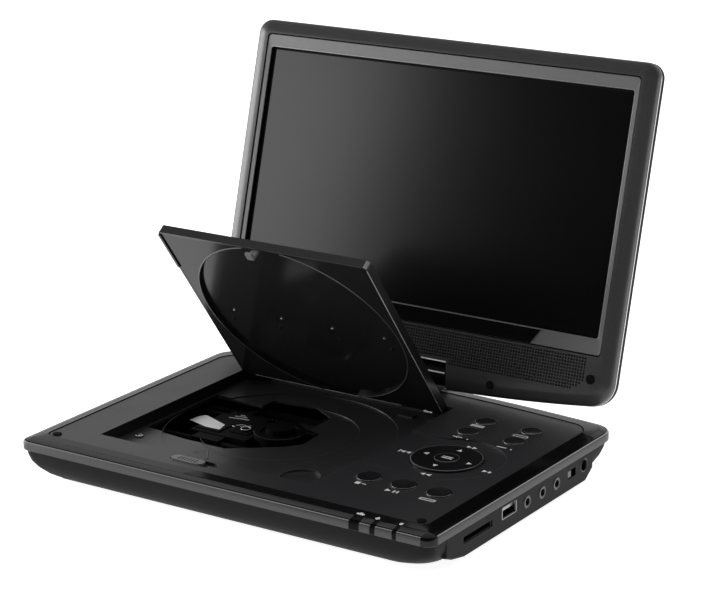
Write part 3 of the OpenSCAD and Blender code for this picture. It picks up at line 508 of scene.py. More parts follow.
def bow_outline(w, front, back, front_r, back_r, inset=0.0, breaks=(), sides=BASE_SIDE):
    """The base's or the screen's outline, anticlockwise from the front left corner.

    It has a straight front, a back that bows out by ARC_RISE, and round corners. It has the
    same number of points at any inset, so that rings of it can be joined. Returns the points
    and, for each point, the name of the stretch that starts there.
    """
    front_round = max(front_r - inset, 0.6)
    back_round = max(back_r - inset, 0.6)
    half = w / 2 - inset
    low_y = front + inset
    arc_half = w / 2 - back_r
    arc_r = (arc_half ** 2 / ARC_RISE + ARC_RISE) / 2 - inset
    centre_y = back - inset - arc_r
    corner_x = half - back_round
    corner_y = centre_y + math.sqrt((arc_r - back_round) ** 2 - corner_x ** 2)
    meet = math.degrees(math.atan2(corner_y - centre_y, corner_x))
    points = [(-half + front_round, low_y)]
    points += [(x, low_y) for x in sorted({*FRONT_STEPS, *breaks})]
    names = ["front"] * len(points)
    points += arc(half - front_round, low_y + front_round, front_round, -90, 0, CORNER_STEPS)[:-1]
    names += ["front_right"] * CORNER_STEPS
    points += [(half, low_y + front_round)] + [(half, y) for y in sides]
    names += ["right"] * (len(sides) + 1)
    points += arc(corner_x, corner_y, back_round, 0, meet, CORNER_STEPS)[:-1]
    names += ["back_right"] * CORNER_STEPS
    points += arc(0, centre_y, arc_r, meet, 180 - meet, BOW_STEPS)[:-1]
    names += ["back"] * BOW_STEPS
    points += arc(-corner_x, corner_y, back_round, 180 - meet, 180, CORNER_STEPS)[:-1]
    names += ["back_left"] * CORNER_STEPS
    points += [(-half, corner_y)] + [(-half, y) for y in reversed(sides)]
    names += ["left"] * (len(sides) + 1)
    points += arc(-half + front_round, low_y + front_round, front_round, 180, 270, CORNER_STEPS)[:-1]
    names += ["front_left"] * CORNER_STEPS
    return points, names


# ---- base casing

GLOSS_START = (-22.5, -17.5)
LIP_FOLD = 5.0
WINDOWS = ((77.7, 83.5), (89.3, 92.2), (101.5, 103.9))
PANEL_SIDE = 9.4
PANEL_FRONT = 10.7
PANEL_BACK = 10.8
LIP_TOP_Z = PANEL_Z + 0.35
HIGHLIGHT_ROWS = (4, 5)
SLOPE_ROW = 6
GROOVE_ROWS = (6, 7, 8, 12, 13)
FOLD_ROW = 14
LIP_ROW = 16


def base_ring(inset, z, breaks, recess=0.0):
    """One ring of the rim at an inset, with its windows set back by a recess."""
    flat, names = bow_outline(
        2 * HALF_W, FRONT_Y, BACK_Y, FRONT_R, BACK_R, inset, breaks)
    ring = []
    for (x, y), name in zip(flat, names):
        in_window = any(a < x < b for a, b in WINDOWS)
        ring.append((x, y + recess if name == "front" and in_window else y, z))
    return ring, names


def rim_breaks(t):
    """Points along the front edge where the finish changes, t of the way up the inner strip."""
    start = GLOSS_START[0] + (GLOSS_START[1] - GLOSS_START[0]) * t
    edges = [start]
    for a, b in WINDOWS:
        edges += [a - 0.08, a + 0.08, b - 0.08, b + 0.08]
    return edges


def rim_finish(row, column, names, x, y):
    """The finish of one face of the rim, by its row in the profile, its column and its middle.

    The rows below SLOPE_ROW are the outer band, and those from FOLD_ROW on the inner strip.
    """
    name = names[column]
    back_right = names.index("back_right")
    # the black finish runs a little way round the back corner, and ends there in a slant
    taper = round(4 * (1 - (row - SLOPE_ROW) / 10))
    on_right = name == "right" and y < BASE_SIDE[-1] or back_right <= column < back_right + taper
    if 2 <= row < FOLD_ROW - 1 and name == "front" and any(a < x < b for a, b in WINDOWS):
        return "window"
    if name == "front_right" or (row >= SLOPE_ROW and on_right):
        return "gloss"
    if row >= FOLD_ROW and name == "front" and x > GLOSS_START[0] + 2:
        return "gloss"
    if row in GROOVE_ROWS or row > LIP_ROW:
        return "dark"
    # the rows of the sharp edge take a painted highlight
    return "edge" if row in HIGHLIGHT_ROWS else "silver"


def make_rim():
    """The rim: a band, a painted highlight on its sharp edge, a dark groove and the two slopes of the lip."""
    profile = [
        (3.2, BAND_Z), (0.25, BAND_Z), (0.0, BAND_Z + 0.25), (0.0, RIM_Z - 0.85),
        (0.3, RIM_Z - 0.3), (0.75, RIM_Z), (1.0, RIM_Z - 0.05),
        (1.05, RIM_Z - 0.8), (1.5, RIM_Z - 0.8), (1.6, RIM_Z + 0.15),
        (2.4, RIM_Z + 0.5), (3.6, RIM_Z + 0.85), (4.9, RIM_Z + 1.1),
        (5.0, RIM_Z + 0.85), (5.25, RIM_Z + 0.85), (5.35, RIM_Z + 1.2),
    ]
    # the black side of the lip has no grooves: its rows lie at these heights instead
    plain = {7: RIM_Z, 8: RIM_Z + 0.1, 13: RIM_Z + 1.12, 14: RIM_Z + 1.18}
    black = ("front_right", "right", "back_right")
    rings = []
    for row, (inset, z) in enumerate(profile):
        t = max(inset - LIP_FOLD, 0) / (PANEL_FRONT - LIP_FOLD)
        ring, names = base_ring(inset, z, rim_breaks(t), 0.3 if inset < LIP_FOLD else 0.0)
        rings.append([
            (x, y, plain.get(row, z) if name in black else height)
            for (x, y, height), name in zip(ring, names)])
    foot_z = PANEL_Z - 3
    for grow, z in ((0.9, LIP_TOP_Z - 0.05), (0.45, LIP_TOP_Z), (0.4, LIP_TOP_Z - 0.1), (0.4, foot_z)):
        flat, names = bow_outline(
            2 * (HALF_W - PANEL_SIDE), FRONT_Y + PANEL_FRONT, BACK_Y - PANEL_BACK, 4, 11,
            -grow, rim_breaks(1))
        rings.append([(x, y, z) for x, y in flat])
    ring, names = base_ring(profile[0][0], foot_z, rim_breaks(1))
    rings.append(ring)
    points, faces = loft(rings, wrap=True)
    count = len(names)
    sets = {"silver": [], "edge": [], "gloss": [], "window": [], "dark": []}
    for number, face in enumerate(faces):
        row, column = divmod(number, count)
        x = (points[face[0]][0] + points[face[1]][0]) / 2
        y = (points[face[0]][1] + points[face[1]][1]) / 2
        sets[rim_finish(row, column, names, x, y)].append(face)
    silver = build("rim_silver", "base", "silver_grey_plastic", points, sets["silver"])
    build("rim_edge_highlight", "base", "rim_highlight", points, sets["edge"])
    build("rim_groove", "base", "black_shell", points, sets["dark"])
    gloss = build("rim_gloss", "base", "gloss_black", points, sets["gloss"])
    windows = build("rim_windows", "base", "smoked_window", points, sets["window"])
    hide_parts("rim_frame")
    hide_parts("gloss_trim")
    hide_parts("status_windows")


PORT_X = 121.5
PORT_Y = (-74.0, 60.0)
PORT_FLOOR = 2.4
WALL = 1.8
JACK_Y = (-2.9, 11.7, 25.8)
JACK_Z = 10.7
USB = (-20.0, 12.3, 13.4, 6.0)
CARD = (-48.6, 10.9, 26.0, 3.4)
SWITCH = (41.0, 11.2, 8.0, 4.2)
DC = (53.4, 11.6)


def port_cutters():
    """The openings of the right side."""
    deep = PORT_X - 21.5
    out = PORT_X + 8.5
    rounds = [(y, JACK_Z, 3.45) for y in JACK_Y] + [(*DC, 3.75)]
    shapes = [rod_shape((deep, y, z), (out, y, z), radius) for y, z, radius in rounds]
    for y, z, width, height in (USB, CARD, SWITCH):
        shapes.append(box_shape((deep, y - width / 2, z - height / 2), (out, y + width / 2, z + height / 2)))
    return shapes


def tub_ring(inset, z, front_r, back_r):
    """One ring of the tub. Its right side stays flat, so that it meets the port block."""
    flat, _ = bow_outline(2 * (HALF_W - inset), FRONT_Y + inset, BACK_Y - inset, front_r, back_r)
    return [(min(x, HALF_W - max(inset, 1.6)), y, z) for x, y in flat]


def make_tub():
    """The tub under the rim: round like a boat's hull at its corners, with a flat underside."""
    foot = low("bottom_shell").z
    # inset, height, front corner radius and back corner radius
    profile = [
        (1.1, BAND_Z, 6, 12), (1.4, 14.5, 6.5, 13), (2.0, 11.2, 8, 16), (3.2, 8.2, 10.5, 20),
        (4.9, 5.6, 14, 24), (7.2, 3.7, 18.5, 28), (9.8, 2.6, 24, 32), (12.4, foot + 0.1, 28, 35),
        (15.5, foot, 31, 37),
    ]
    outer = [tub_ring(*step) for step in profile]
    inner = [tub_ring(inset + WALL, max(z, foot + WALL), front_r - 1.5, back_r - 1.5)
             for inset, z, front_r, back_r in profile[:6]]
    inner.append(tub_ring(16.5, foot + WALL, 31, 36))
    count = len(outer[0])
    points, faces = loft(outer)
    base = len(points)
    more, more_faces = loft(inner[::-1])
    points += more
    faces += [tuple(i + base for i in face) for face in more_faces]
    # the underside, the floor inside it and the top edge between the two walls
    faces.append(tuple(base - count + i for i in range(count)))
    faces.append(tuple(base + i for i in reversed(range(count))))
    last = len(points) - count
    faces += [(i, (i + 1) % count, last + (i + 1) % count, last + i) for i in range(count)]
    tub = build("tub", "base", "black_shell", points, faces, angle=40)
    slots = [box_shape((-40 + 5 * i, 40, foot - 1), (-38 + 5 * i, 58, foot + 3)) for i in range(8)]
    wells = [rod_shape((x, y, foot - 1), (x, y, foot + 2.5), 2.6) for x in (-86, 86) for y in (-50, 48)]
    cut(tub, port_cutters() + slots + wells)
    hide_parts("bottom_shell")


def make_port_block():
    """The block that carries the sockets, with slanted ends."""
    y0, y1 = PORT_Y
    side = [
        (y0 + 14, PORT_FLOOR), (y1 - 4, PORT_FLOOR), (y1 + 3, 7.0), (y1 + 3, BAND_Z),
        (y0 - 3, BAND_Z), (y0 - 3, 7.0), (y0 + 3, 4.6),
    ]
    round_in = 0.7
    rings = [
        [(PORT_X - 23.5, y, z) for y, z in side],
        [(PORT_X - round_in, y, z) for y, z in side],
        [(PORT_X, y + (round_in if y < 0 else -round_in), z + (0 if z == BAND_Z else round_in))
         for y, z in side],
    ]
    points, faces = loft(rings)
    count = len(side)
    faces.append(tuple(range(count)))
    faces.append(tuple(2 * count + i for i in reversed(range(count))))
    block = build("port_block", "base", "black_shell", points, faces)
    cut(block, port_cutters())


# ---- keys, ring and marks

KEYS = {
    "menu_key": (64.7, 52.9), "volume_up_key": (64.7, 35.8),
    "mode_key": (91.6, 52.9), "volume_down_key": (91.6, 35.8),
    "stop_key": (57.6, -43.9), "play_key": (77.3, -43.9), "source_key": (97.1, -43.9),
}
NAV = (75.5, -2.2)
FLANGE = 0.9


def key_radius(name):
    """The radius of a key's cap, without the flange under the panel."""
    return (high(name).x - low(name).x) / 2 - FLANGE


def make_keys():
    """Round keys with a dished top and a rounded, polished edge."""
    for name, place in KEYS.items():
        r = key_radius(name)
        top = high(name).z
        foot = low(name).z
        key = lathe(name + "_cap", name + "_body", "key_black", place, [
            (0.01, top - 0.35), (r * 0.4, top - 0.31), (r * 0.75, top - 0.12), (r - 0.7, top),
            (r - 0.4, top), (r - 0.12, top - 0.12), (r, top - 0.4), (r, foot + 0.6),
            (r + FLANGE, foot + 0.6), (r + FLANGE, foot), (0.01, foot),
        ])
        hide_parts(name)
        lathe(name + "_surround", "base", "mark_grey", place, [
            (r + 0.3, PANEL_Z - 0.3), (r + 0.3, PANEL_Z + 0.05),
            (r + 0.42, PANEL_Z + 0.05), (r + 0.5, PANEL_Z - 0.02),
        ])


def make_nav():
    """The ring and its middle key, with painted highlights along their thin edges."""
    top = high("nav_ring").z
    foot = low("nav_ring").z
    ring = lathe("nav_ring_cap", "nav_ring_body", "ring_black", NAV, [
        (6.9, foot), (6.9, top - 0.2), (7.1, top - 0.05), (8.2, top), (12.5, top - 0.06),
        (17.2, top - 0.02), (17.9, top - 0.08), (18.2, top - 0.25), (18.4, top - 0.5),
        (18.4, foot + 0.6), (18.4 + FLANGE, foot + 0.6), (18.4 + FLANGE, foot),
    ], sides=144)
    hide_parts("nav_ring")
    middle = lathe("enter_key_cap", "enter_key_body", "ring_black", NAV, [
        (0.01, top - 0.15), (4, top - 0.08), (5.9, top + 0.08), (6.3, top + 0.06),
        (6.6, top - 0.2), (6.6, foot), (0.01, foot),
    ])
    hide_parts("enter_key")
    # painted highlights: light grey lines round the edges of the ring and the middle key
    for name, body, r, z, width in (
        ("ring_edge_highlight", "nav_ring_body", 17.75, top - 0.02, 0.34),
        ("middle_edge_highlight", "enter_key_body", 6.1, top + 0.1, 0.22),
    ):
        lathe(name, body, "mark_grey", NAV, [
            (r - width / 2, z - 0.12), (r - width / 2, z), (r + width / 2, z), (r + width / 2, z - 0.12),
        ], sides=144)


def flat_shapes(name, body, finish, shapes, z, thick=0.05):
    """Thin printed shapes: each is a list of (x, y) points, all at one height."""
    points = []
    faces = []
    for shape in shapes:
        start = len(points)
        count = len(shape)
        points += [(x, y, z) for x, y in shape] + [(x, y, z - thick) for x, y in shape]
        faces.append(tuple(start + i for i in range(count)))
        faces += [(start + i, start + (i + 1) % count, start + count + (i + 1) % count, start + count + i)
                  for i in range(count)]
    return build(name, body, finish, points, faces)


def bar(x, y, w, h):
    """A rectangle about a middle."""
    return [(x - w / 2, y - h / 2), (x + w / 2, y - h / 2), (x + w / 2, y + h / 2), (x - w / 2, y + h / 2)]


def wedge(x, y, size, turn):
    """A triangle that points along an angle in degrees."""
    angles = [math.radians(turn + step) for step in (0, 125, 235)]
    return [(x + size * math.cos(a), y + size * math.sin(a)) for a in angles]


def make_marks():
    """Printed symbols: menu lines, plus and minus, skip and play marks. There is no lettering."""
    # three lines for the menu, a screen for the mode, plus and minus for the sound
    marks = [bar(64.2, 45.6 + dy, 7.6, 0.55) for dy in (-1.0, 0, 1.0)]
    marks += [bar(90.2, 44.1 + dy, 8.4, 0.5) for dy in (-1.1, 1.1)]
    marks += [bar(90.2 + dx, 44.1, 0.5, 2.7) for dx in (-4.0, 4.0)]
    marks += [bar(63.9, 26.7, 5.4, 0.7), bar(63.9, 26.7, 0.7, 2.6), bar(70.0, 26.0, 0.9, 0.9)]
    marks += [bar(90.3, 25.4, 5.4, 0.8), bar(96.0, 24.8, 0.9, 0.9)]
    # stop, play and pause, source
    marks += [bar(57.0, -53.0, 2.6, 2.6), bar(60.6, -53.0, 2.4, 0.6)]
    marks += [wedge(74.4, -53.6, 1.8, 0), bar(78.0, -53.6, 0.9, 2.6), bar(79.9, -53.6, 0.9, 2.6)]
    marks += [bar(96.9, -54.9, 8.0, 0.6), bar(96.9, -53.0, 8.0, 0.6)]
    marks += [bar(92.9, -53.9, 0.6, 2.4), bar(100.9, -53.9, 0.6, 2.4)]
    flat_shapes("key_marks", "base", "mark_white", marks, PANEL_Z + 0.04)
    skips = []
    for x, y, way in ((52.6, -3.4, 180), (100.9, -6.0, 0), (76.9, 18.9, 0), (77.5, -24.4, 180)):
        skips += [wedge(x + dx, y, 1.7, way) for dx in (-1.6, 1.6)]
    for x, y in ((52.6 - 3.7, -3.4), (100.9 + 3.7, -6.0)):
        skips.append(bar(x, y, 0.7, 3.0))
    flat_shapes("skip_marks", "base", "mark_white", skips, PANEL_Z - 0.75)
    top = high("nav_ring").z
    flat_shapes("arrow_marks", "nav_ring_body", "mark_white", [
        wedge(63.7, -2.0, 1.7, 180), wedge(75.9, 9.6, 1.7, 90),
        wedge(88.9, -3.4, 1.7, 0), wedge(76.0, -14.0, 1.7, -90),
    ], top + 0.01, 0.1)
    flat_shapes("middle_mark", "enter_key_body", "mark_white", [
        bar(75.6, -2.6, 6.0, 0.8), bar(75.6, -0.9, 6.0, 0.6),
    ], top, 0.12)
    # a symbol on the lip above each of the three windows
    flat_shapes("window_icons", "base", "mark_white", [
        bar(80.5, -85.6, 4.0, 1.2), bar(80.5, -84.6, 1.6, 0.9), wedge(90.2, -85.6, 1.5, 90),
        bar(90.2, -86.6, 1.0, 0.9), bar(103.0, -85.8, 1.4, 2.0),
    ], PANEL_Z + 0.05, 0.25)


# ---- screen

HALF_NOTCH = 26.6
NOTCH_TOP = 7.2
# the lower front edge is rounded about the tilt axis with this radius
SWEEP_R = 9.8
BEZEL_INSETS = (0.0, 0.0, 0.2, 0.5, 0.9, 1.6, 2.4, 3.4, 4.6, 5.6, 6.6)
BEZEL_BACK_W = -2.8
SQUARE = ((-1, -1), (1, -1), (1, 1), (-1, 1))
PITCH = 1.6
HOLE = 1.02
HOLE_TOP = 22.4
HOLE_ROWS = 11
HOLE_COLUMNS = 67
GRILLE_HALF = 110
GRILLE_LOW = 2.8
GRILLE_TOP = 23.8
FRAME_BOX = (-115.2, 115.2, 24.1, 166.8)
FRAME_R = 2.2
EDGE_R = 1.6
CROWN_FALL = 2.0
CROWN_POWER = 1.25
PICTURE_BOX = (-112.0, 112.0, 33.1, 159.4)
PICTURE_R = 1.4


def screen_ring(inset, w):
    """One ring of the screen housing at a depth; its lower edge passes over the base as it tilts."""
    flat, _ = bow_outline(2 * HALF_W, -SCREEN_TOP, -SCREEN_LOW, 8, 13, inset, sides=SCREEN_SIDE)
    ring = []
    for x, y in flat:
        depth = w
        v = -y
        if v < 0 and w < 0:
            depth = max(w, -math.sqrt(max(SWEEP_R ** 2 - v ** 2, 0)))
        ring.append((x, depth, v))
    return ring


def bezel_border(shape):
    """The bezel's rounded, crowned border, open at the notch. Returns the edges round its flat face."""
    rings = []
    for number, inset in enumerate(BEZEL_INSETS):
        edge = EDGE_R - math.sqrt(max(EDGE_R ** 2 - (EDGE_R - min(inset, EDGE_R)) ** 2, 0))
        crown = CROWN_FALL * (1 - inset / BEZEL_INSETS[-1]) ** CROWN_POWER
        rings.append(screen_ring(inset, FACE_W + edge + crown if number else BEZEL_BACK_W))
    count = len(rings[0])
    grid = [[shape.verts.new(Vector(point)) for point in ring] for ring in rings]

    def in_notch(i):
        a, b = rings[0][i], rings[0][(i + 1) % count]
        return a[2] < 0 and min(abs(a[0]), abs(b[0])) < HALF_NOTCH

    for near, far in zip(grid, grid[1:]):
        for i in range(count):
            if not in_notch(i):
                shape.faces.new((near[i], near[(i + 1) % count], far[(i + 1) % count], far[i]))
    inner = grid[-1]
    edges = []
    ends = []
    for i in range(count):
        if in_notch(i):
            continue
        edges.append(shape.edges.get((inner[i], inner[(i + 1) % count])))
        if in_notch((i + 1) % count):
            ends.append(inner[(i + 1) % count])
        if in_notch(i - 1):
            ends.append(inner[i])
    ends.sort(key=lambda vert: vert.co.x)
    left = shape.verts.new((-HALF_NOTCH, FACE_W, NOTCH_TOP))
    right = shape.verts.new((HALF_NOTCH, FACE_W, NOTCH_TOP))
    for a, b in ((ends[0], left), (left, right), (right, ends[1])):
        edges.append(shape.edges.new((a, b)))
    return edges


def hole_field(shape):
    """The field of holes, four quads round each. Returns its open edges and the points of its grid."""
    corners = {}
    half = PITCH / 2

    def at(x, v):
        key = (round(x, 3), round(v, 3))
        if key not in corners:
            corners[key] = shape.verts.new((x, FACE_W, v))
        return corners[key]

    cells = []
    for row in range(HOLE_ROWS):
        v = HOLE_TOP - PITCH * row
        for column in range(-HOLE_COLUMNS, HOLE_COLUMNS + 1):
            x = PITCH * column
            if v - half < NOTCH_TOP + 0.3 and abs(x) < HALF_NOTCH + 1.2:
                continue
            outer = [at(x + sx * half, v + sv * half) for sx, sv in SQUARE]
            # the field's two lower corners are cut off at a slant, where the cells stay solid
            if v < 6.2 + (abs(x) - 102) * 0.8:
                cells.append(shape.faces.new(outer))
                continue
            hole = [shape.verts.new((x + sx * HOLE / 2, FACE_W, v + sv * HOLE / 2)) for sx, sv in SQUARE]
            for i in range(4):
                j = (i + 1) % 4
                cells.append(shape.faces.new((outer[i], outer[j], hole[j], hole[i])))
    lattice = set(corners.values())
    edges = [
        edge for cell in cells for edge in cell.edges
        if len(edge.link_faces) == 1 and all(vert in lattice for vert in edge.verts)
    ]
    return edges, lattice


def make_bezel():
    """The front of the screen housing: a crowned border and a flat face with a field of square holes."""
    shape = bmesh.new()
    edges = bezel_border(shape)
    field_edges, lattice = hole_field(shape)
    edges += field_edges
    frame_corners = [shape.verts.new((x, FACE_W, v)) for x, v in round_rect(*FRAME_BOX, FRAME_R + 0.2)]
    for i, vert in enumerate(frame_corners):
        edges.append(shape.edges.new((vert, frame_corners[(i + 1) % len(frame_corners)])))
    bmesh.ops.triangle_fill(shape, edges=list(dict.fromkeys(edges)), use_beauty=True, use_dissolve=False)
    # the fill also covers the picture's opening and the hole field, and is taken off again there
    covers = [
        face for face in shape.faces
        if all(vert in frame_corners for vert in face.verts)
        or (all(vert in lattice for vert in face.verts) and len(face.verts) == 3)
    ]
    bmesh.ops.delete(shape, geom=covers, context="FACES_ONLY")
    bmesh.ops.recalc_face_normals(shape, faces=shape.faces)
    probe = max(shape.faces, key=lambda face: face.calc_area())
    if probe.normal.y > 0:
        bmesh.ops.reverse_faces(shape, faces=shape.faces)
    shape.verts.index_update()
    points = [tuple(vert.co) for vert in shape.verts]
    faces = [tuple(vert.index for vert in face.verts) for face in shape.faces]
    shape.free()
    place = screen_place()
    bezel = build("bezel", "screen_body", "bezel_black", points, faces, place, angle=35)
    wall = bezel.modifiers.new("wall", "SOLIDIFY")
    wall.thickness = 1.2 * MM
    wall.offset = -1
    settle(bezel, 35)
    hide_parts("front_bezel", "speaker_grille")
    for side, x0, x1, low_v in (
        ("left", -GRILLE_HALF, -HALF_NOTCH - 1, GRILLE_LOW),
        ("right", HALF_NOTCH + 1, GRILLE_HALF, GRILLE_LOW),
        ("middle", -HALF_NOTCH - 1, HALF_NOTCH + 1, NOTCH_TOP + 0.1),
    ):
        cloth = box_shape((x0, FACE_W + 2.0, low_v), (x1, FACE_W + 2.4, GRILLE_TOP))
        build("grille_cloth_" + side, "screen_body", "speaker_black", *cloth, place)


def face_plane(depth):
    """From a flat drawing to the screen's front, a depth behind its face."""
    upright = Matrix.Rotation(math.radians(90), 4, "X")
    return screen_place() @ Matrix.Translation((0, FACE_W + depth, 0)) @ upright


def ring_at(box, inward, radius, w):
    """A round-cornered ring of the picture frame at a depth."""
    x0, x1, v0, v1 = box
    flat = round_rect(x0 + inward, x1 - inward, v0 + inward, v1 - inward, radius)
    return [(x, w, v) for x, v in flat]


def make_picture_frame():
    """The grey frame round the picture: a flat face, a painted highlight on its inner edge and dark inner walls.
    """
    place = screen_place()
    rings = [
        ring_at(FRAME_BOX, 0.5, FRAME_R, FACE_W + 2.8),
        ring_at(FRAME_BOX, 0.5, FRAME_R, FACE_W + 0.75),
        ring_at(FRAME_BOX, 0.8, FRAME_R - 0.3, FACE_W + 0.5),
        ring_at(PICTURE_BOX, -0.75, PICTURE_R + 0.75, FACE_W + 0.62),
        ring_at(PICTURE_BOX, -0.6, PICTURE_R + 0.6, FACE_W + 0.5),
        ring_at(PICTURE_BOX, -0.15, PICTURE_R + 0.15, FACE_W + 0.55),
        ring_at(PICTURE_BOX, 0.0, PICTURE_R, FACE_W + 0.8),
        ring_at(PICTURE_BOX, 0.0, PICTURE_R, FACE_W + 2.8),
    ]
    points, faces = loft(rings, wrap=True)
    count = len(rings[0])
    sets = {"face": [], "edge": [], "wall": []}
    for number, face in enumerate(faces):
        row = number // count
        sets["edge" if row in (4, 5) else "wall" if row == 6 else "face"].append(face)
    face = build("picture_frame_face", "screen_body", "frame_grey", points, sets["face"], place)
    build("picture_frame_highlight", "screen_body", "frame_highlight", points, sets["edge"], place)
    build("picture_frame_wall", "screen_body", "ring_black", points, sets["wall"], place)
    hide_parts("picture_frame")
    # a black band, widest at the left and the top, lies on the glass just inside the frame
    x0, x1, v0, v1 = PICTURE_BOX
    outer = round_rect(x0, x1, v0, v1, 0.6, 2)
    inner = round_rect(x0 + 2.1, x1 - 0.7, v0 + 0.7, v1 - 1.3, 0.3, 2)
    near = FACE_W + 2.72
    far = near + 0.06
    mask = [[(x, w, v) for x, v in ring]
            for ring, w in ((outer, near), (inner, near), (inner, far), (outer, far))]
    build("picture_mask", "screen_body", "mask_black", *loft(mask, wrap=True), place)
    # a painted highlight along the top edge of the insert under the picture
    top = PICTURE_BOX[2] - 0.4
    sweep("insert_edge_highlight", "screen_body", "frame_highlight", [
        [(-74.3, top - 7.8), (-79.4, top), (79.4, top), (74.3, top - 7.8)],
    ], 0.3, 0.1, 0, face_plane(0.27))


# ---- lid, drive and hinge trim

SPINDLE = (-25.6, -1.5)
POCKET = (-25.6, -3.8)
POCKET_R = 59.6
LID_LOW_Z = PANEL_Z - 4.9
LID_TOP_Z = PANEL_Z - 0.1
LID_FRONT = -64.2
LID_SIDES = (-90.0, 38.0)
LID_CORNER_R = 2.0
STUDS_X = (-70.2, -39.9, -8.2, 23.6)
STUDS_Y = -2.8
POCKET_FLOOR = 20.9
LATCH_Y = -72.3
LATCH_R = 3.62
LATCH_ENDS = (-36.9, -16.3)
RIB_R = 6.45


def make_lid_highlights():
    """Painted highlights on the lid's fine edges: the pocket's rounded rim, the lines along its sides, and its
    studs.
    """
    place = lid_place()
    x0, x1 = LID_SIDES
    rim = POCKET_R + 0.3
    # name, finish, paths, width, thickness and height; a line that grows downwards is on the inner face
    for name, finish, paths, width, thick, z in (
        ("pocket_rim_highlight", "lid_highlight", [arc(*POCKET, rim, -79, 79), arc(*POCKET, rim, 101, 259)],
         0.8, -0.25, LID_LOW_Z + 0.12),
        ("lid_low_highlights", "lid_highlight", [[(x0 + 3, LID_FRONT + 0.25), (x1 - 3, LID_FRONT + 0.25)]],
         0.35, -0.06, LID_LOW_Z + 0.02),
        ("lid_right_highlight", "painted_highlight", [[(x1 - 0.35, LID_FRONT + 2.2), (x1 - 0.35, 53)]],
         0.4, -0.06, LID_LOW_Z + 0.02),
        ("lid_top_highlight", "lid_highlight", [[(x0 + 3, LID_FRONT + 0.1), (x1 - 3, LID_FRONT + 0.1)]],
         0.3, 0.05, LID_TOP_Z - 0.12),
        ("lid_back_highlight", "painted_highlight", [[(-82, 55.1), (12, 55.1)]], 0.4, -0.1, LID_LOW_Z + 0.12),
    ):
        sweep(name, "lid_body", finish, paths, width, thick, z, place)
    # painted highlight: a bright strip up the lid's front right corner
    centre = (x1 - LID_CORNER_R, LID_FRONT + LID_CORNER_R)
    low_z = LID_LOW_Z + 0.3
    high_z = LID_TOP_Z - 0.3
    rings = [
        [(x, y, z) for x, y in arc(*centre, LID_CORNER_R + grow, -84, -30, 9)]
        for grow, z in ((0, low_z), (0.06, low_z + 0.05), (0.06, high_z - 0.05), (0, high_z))
    ]
    points, faces = loft(rings)
    count = len(rings[0])
    # the strip is open: the faces from its last points back to its first are left out
    faces = [face for number, face in enumerate(faces) if number % count < count - 1]
    build("lid_corner_highlight", "lid_body", "bright_trim", points, faces, place)
    # painted highlights: lighter studs over the lid's pins, with painted glints on their tips
    z = POCKET_FLOOR
    for number, x in enumerate(STUDS_X):
        lathe("lid_stud_%d" % number, "lid_body", "lid_highlight", (x, STUDS_Y), [
            (1.1, z), (1.1, z - 0.15), (0.75, z - 0.2), (0.7, z - 0.7), (0.4, z - 0.95), (0.01, z - 1.0),
        ], sides=24, place=place)
        lathe("lid_stud_tip_%d" % number, "lid_body", "bright_trim", (x, STUDS_Y), [
            (0.5, z - 0.86), (0.42, z - 1.0), (0.2, z - 1.08), (0.01, z - 1.1),
        ], sides=16, place=place)


def make_drive_trim():
    """The laser cover's bright plate, painted glints on the flexible wires and a small painted glint ring by the
    lens.
    """
    flat_shapes("sled_plate", "sled_body", "plate_grey", [[
        (-80.6, -5.6), (-67.5, -9.6), (-58.5, -9.4), (-60.3, -2.1), (-75.7, 4.2), (-77.9, 4.7), (-79.9, 1.5),
    ]], 14.95, 0.4)
    sweep("sled_wire_glints", "sled_body", "painted_highlight", [
        [(-66, 9.0), (-60, 10.4), (-54.5, 11.0)],
        [(-62.5, 14.6), (-60.8, 15.6), (-59.4, 14.6)],
        [(-64.5, 12.4), (-57.5, 13.6)],
        [(-55.5, 1.0), (-53.4, 3.2), (-50.8, 3.4)],
        [(-52.4, 0.4), (-50.2, 2.0), (-48.2, 4.4)],
        [(-56.8, -0.6), (-54.8, -1.0)],
    ], 0.5, 0.3, 14.5)
    lathe("lens_glint_ring", "lens_body", "painted_highlight", (-47.3, SPINDLE[1]), [
        (2.2, 15.25), (2.3, 15.45), (2.7, 15.45), (2.8, 15.25),
    ], sides=40)
    # painted highlight: a light arc on the near side of the platter
    sweep("platter_highlight", "turntable_body", "mark_grey", [
        arc(*SPINDLE, 13.3, -150, 0, 48),
    ], 0.25, 0.05, 17.99)


def make_deck_trim():
    """The arrow cut in the deck, and the painted shade in the latch's recess, its arrow and the rim round its
    slot.
    """
    sweep("deck_arrow", "base", "mark_grey", [
        [(-46.8, -47.2), (-42.0, -40.8), (-34.2, -51.7)],
    ], 0.7, 0.06, DECK_Z - 0.02)
    left, right = LATCH_ENDS
    recess = arc(right - 0.3, LATCH_Y, 3.3, -90, 90, 16) + [(-20.6, LATCH_Y + 3.3), (-20.6, LATCH_Y - 3.3)]
    # painted shade: a near black sheet in the latch's recess
    flat_shapes("latch_recess_shade", "base", "ring_black", [recess], PANEL_Z - 1.16, 0.08)
    arrow = wedge(-17.4, LATCH_Y + 0.3, 1.7, -90)
    flat_shapes("latch_arrow", "base", "mark_grey", [arrow], PANEL_Z - 1.13, 0.06)
    sweep("latch_rim", "base", "mark_grey", [
        arc(left, LATCH_Y, LATCH_R, 90, 270, 24) + arc(right, LATCH_Y, LATCH_R, -90, 90, 24),
    ], 0.25, 0.06, PANEL_Z - 0.02)


